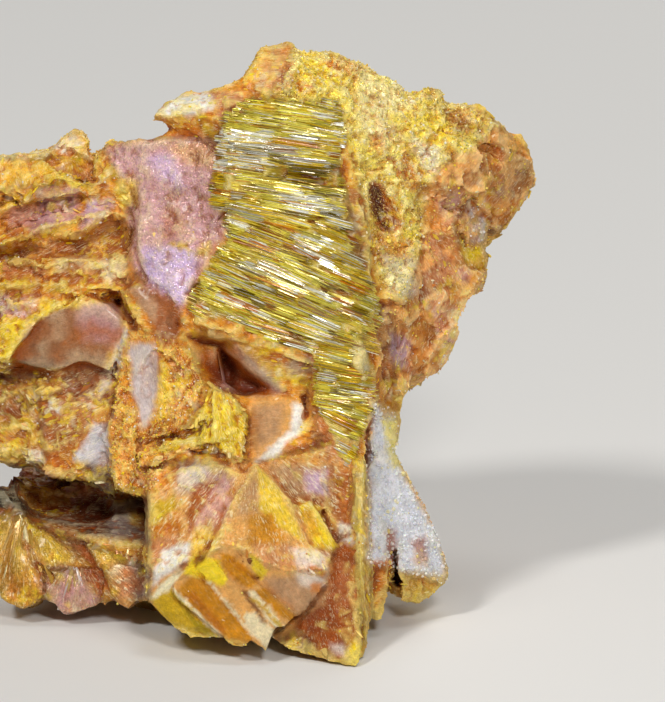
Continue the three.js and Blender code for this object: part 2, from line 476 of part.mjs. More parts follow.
// What is missing from the mass: the cave, the fissure and its crack, the slit under the brim, the slot in
// the fan, the notch beside the pink face and the pit in the golden slab
function gaps() {
  const through = (outline, front, back) =>
    hull([front, back].flatMap((proud) => outline.map(([across, drop]) => [across, drop, proud])));
  const caveMouth = through([[-12, 46.3], [3, 46.5], [1.2, 48.9], [-12, 48.2]], 0, -16);
  const cave = hull([[0.8, 46.8, 0], [3, 46.8, 0], [9, 50.4, 0], [15.4, 50, 0], [15, 52.6, 0], [8, 53, 0],
    [2.6, 51.4, 0], [1.2, 49.6, 0], [2, 46.9, -15], [5, 46.9, -15], [11, 49.8, -13], [10, 51.5, -12],
    [3.6, 51, -14], [2, 49.4, -15]]);
  const fissure = hull([[37.2, 18, 1], [38.2, 19.4, 1], [40, 23.2, 1], [38.4, 23.6, 1], [37.4, 21.8, 1],
    [37.4, 18.6, -8], [39, 22.4, -8], [38, 22.6, -8]]);
  const crack = through([[37, 26], [37.4, 26], [37.2, 27.8]], 1, -4);
  const slit = hull([[-12, 21.9, 0], [2.9, 19.9, 0], [2.6, 20.6, 0], [-12, 23.4, 0], [-12, 21.9, -14],
    [1, 20.4, -13], [-12, 23.4, -14]]);
  const slot = through([[39, 52.6], [39.4, 52.8], [40, 58.8], [39, 58.8]], 0, -10);
  const notch = through([[8.4, 12], [10.1, 12], [9.9, 14.8], [9.3, 16.4], [8.7, 16]], 0, -18);
  const pit = hull([[28, 16, 4], [33, 16.6, 4], [33.4, 19, 4], [28.6, 18.8, 4], [28.8, 16.8, 0],
    [32.4, 17, -0.4], [32.6, 18.6, -0.4], [29.2, 18.4, 0]]);
  return [caveMouth, cave, fissure, crack, slit, slot, notch, pit];
}

// The table plane: everything below it is cut away, so the foot and the toe rest flat
function belowTable() {
  const size = 200;
  return solidOf(new THREE.BoxGeometry(size, size, size).translate(0, 0, -size / 2));
}

function specimen() {
  const regions = [core, summit, shoulder, crust, goldenSlab, horn, pinkFace, westLobe, column, hollow,
    hammerhead, wedge, calciteFan, westFoot, backRubble];
  const grown = regions.flatMap((make) => make()).reduce((whole, mass) => whole.add(mass));
  return gaps().reduce((whole, gap) => whole.subtract(gap), grown).subtract(belowTable());
}

function geometryOf(solid) {
  const { vertProperties, triVerts } = solid.getMesh();
  const geometry = new THREE.BufferGeometry();
  geometry.setAttribute("position", new THREE.BufferAttribute(vertProperties, 3));
  geometry.setIndex(new THREE.BufferAttribute(triVerts, 1));
  geometry.computeVertexNormals();
  return geometry;
}

const golden = new THREE.MeshStandardMaterial({
  color: 0xd9a03a,
  roughness: 0.45,
  metalness: 0.15,
  flatShading: true,
});
const orpiment = new THREE.Mesh(geometryOf(specimen()), golden);
orpiment.name = "orpiment";

const part = new THREE.Group();
part.add(orpiment);
export default part;
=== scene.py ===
import itertools
import math

import bmesh
import bpy
import numpy as np
from mathutils import Matrix, Vector


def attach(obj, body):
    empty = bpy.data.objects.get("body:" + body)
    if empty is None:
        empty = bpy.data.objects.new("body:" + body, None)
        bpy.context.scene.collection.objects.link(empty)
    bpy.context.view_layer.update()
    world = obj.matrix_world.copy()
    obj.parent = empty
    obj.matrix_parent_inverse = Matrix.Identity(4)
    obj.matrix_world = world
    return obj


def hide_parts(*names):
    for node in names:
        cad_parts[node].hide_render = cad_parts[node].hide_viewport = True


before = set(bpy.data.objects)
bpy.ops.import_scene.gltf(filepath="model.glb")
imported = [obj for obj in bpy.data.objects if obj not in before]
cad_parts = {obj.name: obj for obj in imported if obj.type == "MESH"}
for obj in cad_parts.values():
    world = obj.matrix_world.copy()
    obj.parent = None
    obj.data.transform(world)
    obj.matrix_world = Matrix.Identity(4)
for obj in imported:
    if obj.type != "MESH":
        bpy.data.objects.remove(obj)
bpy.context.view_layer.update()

# Studio
# A pale matt floor carries the specimen. A key and a glint from the front, a soft fill, a top light and
# a back light fall on it, and the camera looks squarely at the display face, which leans back a little.
MM = 0.001
FACE_LEAN = math.radians(15)
TOE_DROP = 66.6
TOE_PROUD = 9.2
MIDDLE_ACROSS = 20.95
MIDDLE_BACK = 13.8
VIEW_MIDDLE = (33.25, 35.1, -5.0)
VIEW_HEIGHT = 0.0702
VIEW_DISTANCE = 2.0
SENSOR = 36.0
FLOOR_HALF = 3.0
FLOOR_GREY = (0.80, 0.79, 0.77, 1)
FLOOR_ROUGHNESS = 0.9
AMBIENT = (0.92, 0.95, 1.0, 1)
AMBIENT_STRENGTH = 0.045
LIGHTS = {
    "key": {"at": (-0.36, -0.46, 0.66), "width": 0.14, "power": 3.1, "colour": (1.0, 0.98, 0.95)},
    "fill": {"at": (0.55, -0.50, 0.30), "width": 0.40, "power": 0.30, "colour": (0.93, 0.96, 1.0)},
    "top": {"at": (0.10, 0.05, 0.70), "width": 0.30, "power": 0.9, "colour": (1.0, 1.0, 1.0)},
    "back": {"at": (0.30, 0.75, 0.50), "width": 0.50, "power": 2.6, "colour": (1.0, 0.99, 0.96)},
    "glint": {"at": (0.14, -0.66, 0.46), "width": 0.14, "power": 2.8, "colour": (1.0, 0.99, 0.97)},
}


def place(across, drop, proud):
    """Metres in the part's frame from millimetres on the display face: across from the picture's left
    edge, drop from its top and proud towards the viewer, leaned back and set over the middle."""
    rise = TOE_DROP - drop
    back = rise * math.sin(FACE_LEAN) - proud * math.cos(FACE_LEAN) - MIDDLE_BACK
    up = rise * math.cos(FACE_LEAN) + (proud - TOE_PROUD) * math.sin(FACE_LEAN)
    return np.stack(np.broadcast_arrays(across - MIDDLE_ACROSS, back, up), axis=-1) * MM


def stand(name, data, at, target):
    """Puts a light or camera at a point, turned to look at the target."""
    made = bpy.data.objects.new(name, data)
    bpy.context.scene.collection.objects.link(made)
    made.location = at
    made.rotation_euler = (target - Vector(at)).to_track_quat("-Z", "Y").to_euler()
    return made


scene = bpy.context.scene
scene.view_settings.view_transform = "Standard"
aim = Vector(place(*VIEW_MIDDLE))
lens = bpy.data.cameras.new("display_view")
lens.sensor_fit = "VERTICAL"
lens.sensor_height = SENSOR
lens.lens = SENSOR * VIEW_DISTANCE / VIEW_HEIGHT
towards_viewer = Vector((0, -math.cos(FACE_LEAN), math.sin(FACE_LEAN)))
scene.camera = stand("display_view", lens, aim + VIEW_DISTANCE * towards_viewer, aim)

for name, light in LIGHTS.items():
    lamp = bpy.data.lights.new(name, "AREA")
    lamp.shape = "DISK"
    lamp.size = light["width"]
    lamp.energy = light["power"]
    lamp.color = light["colour"]
    stand(name, lamp, light["at"], aim)

scene.world = bpy.data.worlds.new("studio")
scene.world.use_nodes = True
scene.world.node_tree.nodes["Background"].inputs["Color"].default_value = AMBIENT
scene.world.node_tree.nodes["Background"].inputs["Strength"].default_value = AMBIENT_STRENGTH

corners = [(-FLOOR_HALF, -FLOOR_HALF, 0), (FLOOR_HALF, -FLOOR_HALF, 0),
           (FLOOR_HALF, FLOOR_HALF, 0), (-FLOOR_HALF, FLOOR_HALF, 0)]
floor_mesh = bpy.data.meshes.new("floor")
floor_mesh.from_pydata(corners, [], [(0, 1, 2, 3)])
floor_paint = bpy.data.materials.new("floor_paint")
floor_paint.use_nodes = True
floor_shader = floor_paint.node_tree.nodes["Principled BSDF"]
floor_shader.inputs["Base Color"].default_value = FLOOR_GREY
floor_shader.inputs["Roughness"].default_value = FLOOR_ROUGHNESS
floor_mesh.materials.append(floor_paint)
floor = bpy.data.objects.new("floor", floor_mesh)
scene.collection.objects.link(floor)

# Mass
# One lump of massive and foliated orpiment with calcite, grown together and broken out of its vein.
# Its skin follows the solid: the grooves between blocks are grown shut, then every face is broken
# into cleavage faces, chips, striae or grains, and coloured by the mineral that shows there.
# Crests carry painted highlight, and creases and hollows carry painted glow and painted shade.
MERGE_REACH = 0.001
CELL = 0.26
GROW_ROUNDS = 26
GROW_SHARE = 0.85
GAP_SHARE = 0.7
GAP_MOST = 1.4
MASS_TRIANGLES = 197000
FRONT_REACH = (-16, -10)
FRONT_SHAKE = 1.5
FLOOR_CALM = 1.2
PLUG_RING = (0.02, 0.45)
PLUG_FITS = 3
PLUG_STRAY = 0.8
PLUG_ROUNDS = 14
CREST_ROUNDS = 5
DEEP_ROUNDS = 50
FRONT_FACE = 4.4
BACK_FACE = 5.4
FOLD_ANGLE = math.radians(38)
BIT_MIXERS = [np.uint32(n) for n in (0x8DA6B343, 0xD8163841, 0xCB1AB31F, 0x9E3779B1)]
BIT_STIRS = [np.uint32(n) for n in (0x2C1B3C6D, 0x297A2D39)]
BIT_SHIFTS = [np.uint32(n) for n in (15, 12)]
WHOLE = np.float32(2.0 ** 32)

SURFACE_COLOURS = {
    "apricot": (228, 150, 34),
    "peach": (224, 164, 88),
    "orange": (208, 116, 2),
    "marigold": (202, 132, 2),
    "amber": (176, 90, 0),
    "ember": (162, 76, 8),
    # Near-black brown for the cave: painted shadow.
    "dark ember": (96, 38, 10),
    "cave shadow": (44, 26, 15),
    "lemon": (246, 214, 30),
    "crust": (242, 222, 104),
    "cream": (244, 232, 190),
    "olive": (160, 136, 14),
    "gold": (208, 168, 26),
    "tan": (204, 158, 60),
    "rose": (200, 130, 86),
    "mauve": (200, 150, 154),
    "lilac": (202, 174, 214),
    "rose brown": (152, 96, 54),
    "smoke": (140, 118, 112),
    "frost": (240, 238, 230),
    "calcite": (222, 222, 228),
    "quartz": (204, 198, 204),
    "bronze": (154, 104, 18),
}

SLAB = [(22.8, 11.2), (25.5, 9.9), (33.8, 10.4), (34.6, 13.5), (33.8, 16.0), (35.0, 21.0), (37.0, 27.5),
        (38.4, 33.0), (37.6, 40.5), (36.4, 42.5), (34.9, 46.9), (33.6, 44.2), (31.5, 40.0), (31.5, 35.2),
        (29.2, 34.6), (27.3, 34.0), (25.8, 33.2), (23.3, 31.8), (19.8, 31.6), (18.8, 30.2), (21.4, 25.8),
        (23.0, 23.6), (22.2, 20.9), (21.0, 20.4), (21.7, 14.5)]
CRUST = [(29.6, 4.4), (36.0, 6.2), (42.5, 8.4), (46.0, 10.0), (50.0, 12.4), (47.6, 14.6), (44.0, 16.8),
         (42.4, 19.6), (42.2, 24.0), (40.6, 30.0), (38.0, 29.0), (36.8, 22.0), (35.6, 17.0), (33.8, 11.5),
         (27.0, 9.6), (28.4, 7.0)]
SHOULDER = [(50.0, 12.4), (54.2, 16.5), (52.0, 22.6), (48.8, 23.4), (48.8, 29.0), (46.8, 34.0),
            (43.0, 38.8), (38.2, 39.6), (37.6, 31.0), (40.6, 30.0), (42.2, 24.0), (42.4, 19.6),
            (44.0, 16.8), (47.6, 14.6)]
TIP = [(46.0, 12.6), (50.0, 12.4), (54.2, 16.5), (52.0, 22.8), (48.6, 22.8), (44.8, 19.4)]
PINK_REACH = [(10.4, 15.4), (13.5, 14.8), (20.6, 15.2), (20.2, 19.4), (21.0, 22.8), (18.6, 28.2),
              (16.6, 28.6), (13.0, 26.0), (11.4, 20.0)]
PINK = [(10.4, 14.6), (13.5, 13.9), (18.0, 13.8), (21.7, 14.2), (21.3, 19.4), (22.6, 22.8), (19.9, 28.2),
        (18.0, 31.0), (14.4, 28.9), (12.4, 24.4), (12.8, 20.4), (11.6, 17.4)]
CALCITE = [(37.3, 40.2), (39.6, 41.4), (39.9, 46.6), (44.0, 52.3), (44.8, 58.4), (40.6, 57.4),
           (39.6, 57.0), (37.0, 56.4), (36.8, 46.0)]
COLUMN = [(12.8, 33.2), (17.2, 33.4), (19.4, 35.6), (20.6, 38.6), (18.0, 43.4), (15.6, 49.2),
          (11.3, 49.0), (10.9, 42.0)]
CONCHOID = [(1.4, 34.4), (4.4, 31.2), (8.4, 30.2), (12.0, 30.0), (12.4, 33.0), (10.4, 37.0), (5.5, 37.0),
            (1.2, 37.4)]
AMBER_HOLLOW = [(19.7, 32.7), (23.4, 33.6), (28.5, 39.2), (26.4, 39.9), (24.6, 39.6), (22.3, 38.4),
                (20.4, 37.4), (19.4, 35.0)]
CREAM_FACET = [(24.9, 39.8), (28.2, 39.6), (30.4, 40.4), (30.0, 43.0), (27.4, 45.6), (25.2, 46.0)]
PANEL = [(12.2, 28.3), (14.6, 28.7), (18.2, 31.2), (18.0, 33.4), (16.4, 35.0), (14.6, 31.6)]
SHARD = [(7.2, 46.0), (9.6, 42.4), (10.9, 42.2), (11.0, 46.4), (9.4, 46.7)]
QUARTZ = [(13.0, 34.4), (15.6, 34.2), (16.1, 37.6), (15.6, 40.4), (14.4, 43.0), (13.2, 39.0)]
WEST_HOLLOW = [(-9.0, 20.6), (3.0, 19.6), (7.6, 18.6), (12.4, 21.2), (13.6, 25.4), (8.0, 26.8),
               (-9.0, 27.0)]
VUG = [(0.8, 20.8), (4.0, 19.0), (7.8, 18.9), (11.0, 19.4), (11.2, 20.8), (9.4, 23.2), (4.2, 23.4),
       (0.8, 22.9)]
SLATS = [(15.2, 57.8), (19.4, 56.0), (23.0, 54.6), (28.2, 57.2), (32.8, 57.4), (32.4, 60.8), (27.2, 64.8),
         (15.2, 61.6)]
RIDGE = [(25.7, 46.4), (29.2, 51.4), (31.0, 54.6), (24.4, 54.6), (22.6, 51.8)]
WEDGE = [(29.4, 62.4), (32.8, 57.0), (34.0, 53.6), (35.6, 55.0), (36.2, 66.6), (31.0, 65.0)]
RIB = [(35.3, 45.6), (36.7, 45.8), (37.2, 55.0), (37.2, 63.6), (36.2, 64.6), (35.5, 55.0)]
FOOT = [(-12.0, 50.6), (2.0, 51.4), (6.0, 53.6), (12.0, 55.4), (15.2, 57.0), (15.0, 61.6), (5.0, 62.6),
        (-12.0, 62.0)]
CAVE = [(-12.0, 46.4), (3.8, 46.4), (8.4, 49.8), (11.5, 50.4), (14.8, 49.6), (14.8, 54.4), (10.0, 54.0),
        (5.0, 52.6), (1.5, 51.4), (-12.0, 50.6)]

WEST = [(-14.0, 12.0), (12.4, 12.0), (13.0, 28.0), (12.2, 33.0), (11.2, 48.0), (-14.0, 48.0)]
LEMON_FAN = [(21.0, 38.6), (23.2, 39.4), (24.8, 41.6), (24.6, 46.2), (22.0, 45.4), (18.0, 45.2),
             (15.6, 46.2), (15.2, 44.6), (19.0, 42.6)]
HEAD = [(14.6, 46.4), (25.5, 46.0), (35.2, 44.0), (35.2, 54.0), (33.0, 57.0), (15.0, 58.0)]
FISSURE = [(36.9, 18.2), (38.2, 18.2), (40.2, 22.0), (40.0, 23.4), (37.6, 23.2), (37.0, 21.0)]
REGIONS = {
    "slab": SLAB, "crust": CRUST, "shoulder": SHOULDER, "pink": PINK, "calcite": CALCITE, "column": COLUMN,
    "conchoid": CONCHOID, "amber": AMBER_HOLLOW, "facet": CREAM_FACET, "slats": SLATS, "ridge": RIDGE,
    "wedge": WEDGE, "rib": RIB, "foot": FOOT, "cave": CAVE, "west": WEST, "head": HEAD,
    "lemon": LEMON_FAN, "fissure": FISSURE, "panel": PANEL, "quartz": QUARTZ, "shard": SHARD, "vug": VUG,
}

# How the fibres lie, straight at an angle down from level or spreading from a root, and how many show.
FAN_RADIUS = 4.0
LIES = [
    (WEST, -0.45, None),
    ([(-14.0, 15.8), (8.8, 15.8), (8.8, 18.0), (4.0, 18.6), (-14.0, 20.6)], 1.35, None),
    ([(-14.0, 37.6), (3.4, 37.6), (4.6, 46.4), (-14.0, 46.4)], 0.75, None),
    (CRUST, 0.55, None),
    (SHOULDER, None, (39.0, 20.0)),
    (TIP, 2.30, None),
    (PINK, 1.42, None),
    (SLAB, 0.16, None),
    ([(17.0, 22.4), (23.0, 22.4), (39.4, 25.4), (39.4, 34.6), (31.0, 34.8), (17.0, 33.4)], 0.39, None),
    ([(30.6, 34.8), (39.4, 34.6), (39.4, 41.0), (31.0, 40.6)], 0.20, None),
    ([(31.0, 40.6), (39.4, 41.0), (38.0, 47.6), (33.0, 47.6)], 0.55, None),
    (COLUMN, 1.30, None),
    (LEMON_FAN, None, (21.6, 37.6)),
    ([(14.0, 43.6), (20.4, 42.4), (19.6, 45.6), (14.0, 46.6)], 2.90, None),
    (HEAD, None, (25.0, 43.0)),
    (RIDGE, None, (25.4, 44.0)),
    (SLATS, 0.88, None),
    (WEDGE, 1.30, None),
    (RIB, 1.52, None),
    (CALCITE, None, (38.0, 36.0)),
    (FOOT, None, (1.6, 49.6)),
    ([(4.4, 57.0), (10.0, 57.0), (10.2, 62.4), (4.4, 62.4)], None, (7.4, 55.2)),
    ([(-14.0, 50.4), (-1.6, 50.8), (-1.0, 62.4), (-14.0, 62.4)], None, (-4.6, 48.0)),
]
STREAKY_AT_LARGE = 0.6
STREAKY = {
    "slab": 1.0, "ridge": 0.35, "rib": 1.0, "foot": 0.9, "west": 0.7, "head": 0.8, "lemon": 1.0,
    "wedge": 0.5, "pink": 0.35, "crust": 0.45, "shoulder": 0.6, "column": 0.5, "calcite": 0.3,
    "slats": 0.15, "conchoid": 0.12, "panel": 0.3, "facet": 0.2, "amber": 0.2, "cave": 0.5,
}

# Rims, grooves (a height under 0) and hollows: height, half width or border in mm, and where each runs.
RIMS = [
    (0.9, 0.45, [(-8.0, 22.6), (0.0, 20.8), (4.0, 19.0), (5.6, 18.0), (9.4, 18.1), (11.2, 17.6)]),
    (0.9, 0.50, [(-6.0, 25.2), (2.5, 24.0), (7.5, 22.1), (11.4, 21.4)]),
    (0.7, 0.50, [(11.0, 19.8), (9.6, 22.4), (7.4, 23.6)]),
    (0.5, 0.60, [(-8.0, 26.8), (4.0, 26.5), (8.0, 26.2), (12.4, 26.4)]),
    (0.5, 0.35, [(-6.0, 28.8), (2.0, 28.4), (6.4, 28.6)]),
    (0.6, 0.40, [(1.8, 33.4), (4.4, 30.6), (8.4, 29.6), (12.2, 29.4)]),
    (0.6, 0.50, [(-4.0, 39.6), (2.0, 38.4), (5.6, 38.8)]),
    (0.5, 0.50, [(-4.0, 43.6), (2.4, 42.2), (4.8, 44.6)]),
    (-0.6, 0.28, [(26.0, 17.0), (24.8, 19.8), (22.3, 21.5)]),
    (-0.5, 0.26, [(34.6, 21.2), (31.8, 21.9), (28.6, 24.2)]),
    (-0.5, 0.30, [(30.2, 26.0), (32.6, 29.4), (33.6, 32.6)]),
]
HOLLOWS = [
    (0.8, 0.7, [(0.4, 21.6), (5.0, 19.4), (8.6, 19.2), (8.2, 21.0), (2.6, 23.2), (0.4, 23.2)]),
    (1.3, 0.9, [(7.6, 23.8), (11.6, 21.9), (13.2, 23.0), (13.0, 25.6), (7.0, 25.8), (-6.0, 26.2),
                (-6.0, 25.6)]),
    (0.8, 0.7, [(3.6, 27.4), (10.0, 27.4), (9.8, 28.4), (4.0, 28.6)]),
    (1.0, 0.9, [(-4.0, 36.6), (2.4, 36.4), (5.4, 37.2), (5.2, 38.2), (-4.0, 38.8)]),
    (1.6, 0.8, [(19.6, 33.4), (22.8, 33.8), (24.2, 36.0), (23.6, 38.4), (21.8, 38.4), (20.2, 36.6)]),
]

# Gaps between blocks closed by the plane of the skin round them, hollowed by a depth over a border in mm.
PLUGS = [
    (FISSURE, 1.5, 0.7),
    ([(22.8, 54.8), (26.8, 54.9), (27.2, 57.6), (24.8, 57.8), (22.8, 56.2)], 0.0, 0.3),
    ([(30.6, 46.2), (33.8, 46.4), (33.8, 50.0), (30.8, 49.8)], 0.0, 0.3),
]

# Hollows that keep some depth while the grooves round them grow shut: share and border in mm.
KEPT_OPEN = [
    (WEST_HOLLOW, 1.0, 0.6), (CAVE, 1.0, 0.6), (AMBER_HOLLOW, 1.0, 0.6), (FISSURE, 1.4, 0.6),
    (HEAD, 0.6, 0.6), (SLATS, 1.2, 0.4), (RIDGE, 1.2, 0.4), (WEDGE, 0.8, 0.4),
]

# How high each kind of break stands in mm, on each stretch of the skin.
BREAKS = {
    "fibrous": {"lines": 0.10, "folds": 0.12},
    "open": {"broad": 0.08, "middling": 0.08, "small": 0.06, "steps": 0.16},
    "back": {"broad": 0.06, "middling": 0.10, "level splinters": 0.12, "steps": 0.16},
    "west": {"level splinters": 0.12, "steep splinters": 0.10, "steps": 0.08},
    "head": {"steep splinters": 0.10, "small": 0.04},
    "crust": {"broad": 0.10, "middling": 0.16, "small": 0.08, "steep splinters": 0.06},
    "shoulder": {"broad": 0.08, "middling": 0.06, "small": 0.05},
    "column": {"small": 0.14, "steep splinters": 0.12},
    "pink": {"broad": 0.12, "middling": 0.08, "small": 0.07, "steep splinters": 0.08, "steps": 0.08},
    "slab": {"level splinters": 0.10, "middling": 0.06},
    "foot": {"folds": 0.22, "lines": 0.10},
    "lemon": {"lines": 0.16, "middling": 0.10},
}
WEDGE_GRAIN = 0.06
CALCITE_GRAIN = 0.06
CRACK_DEPTH = 0.20
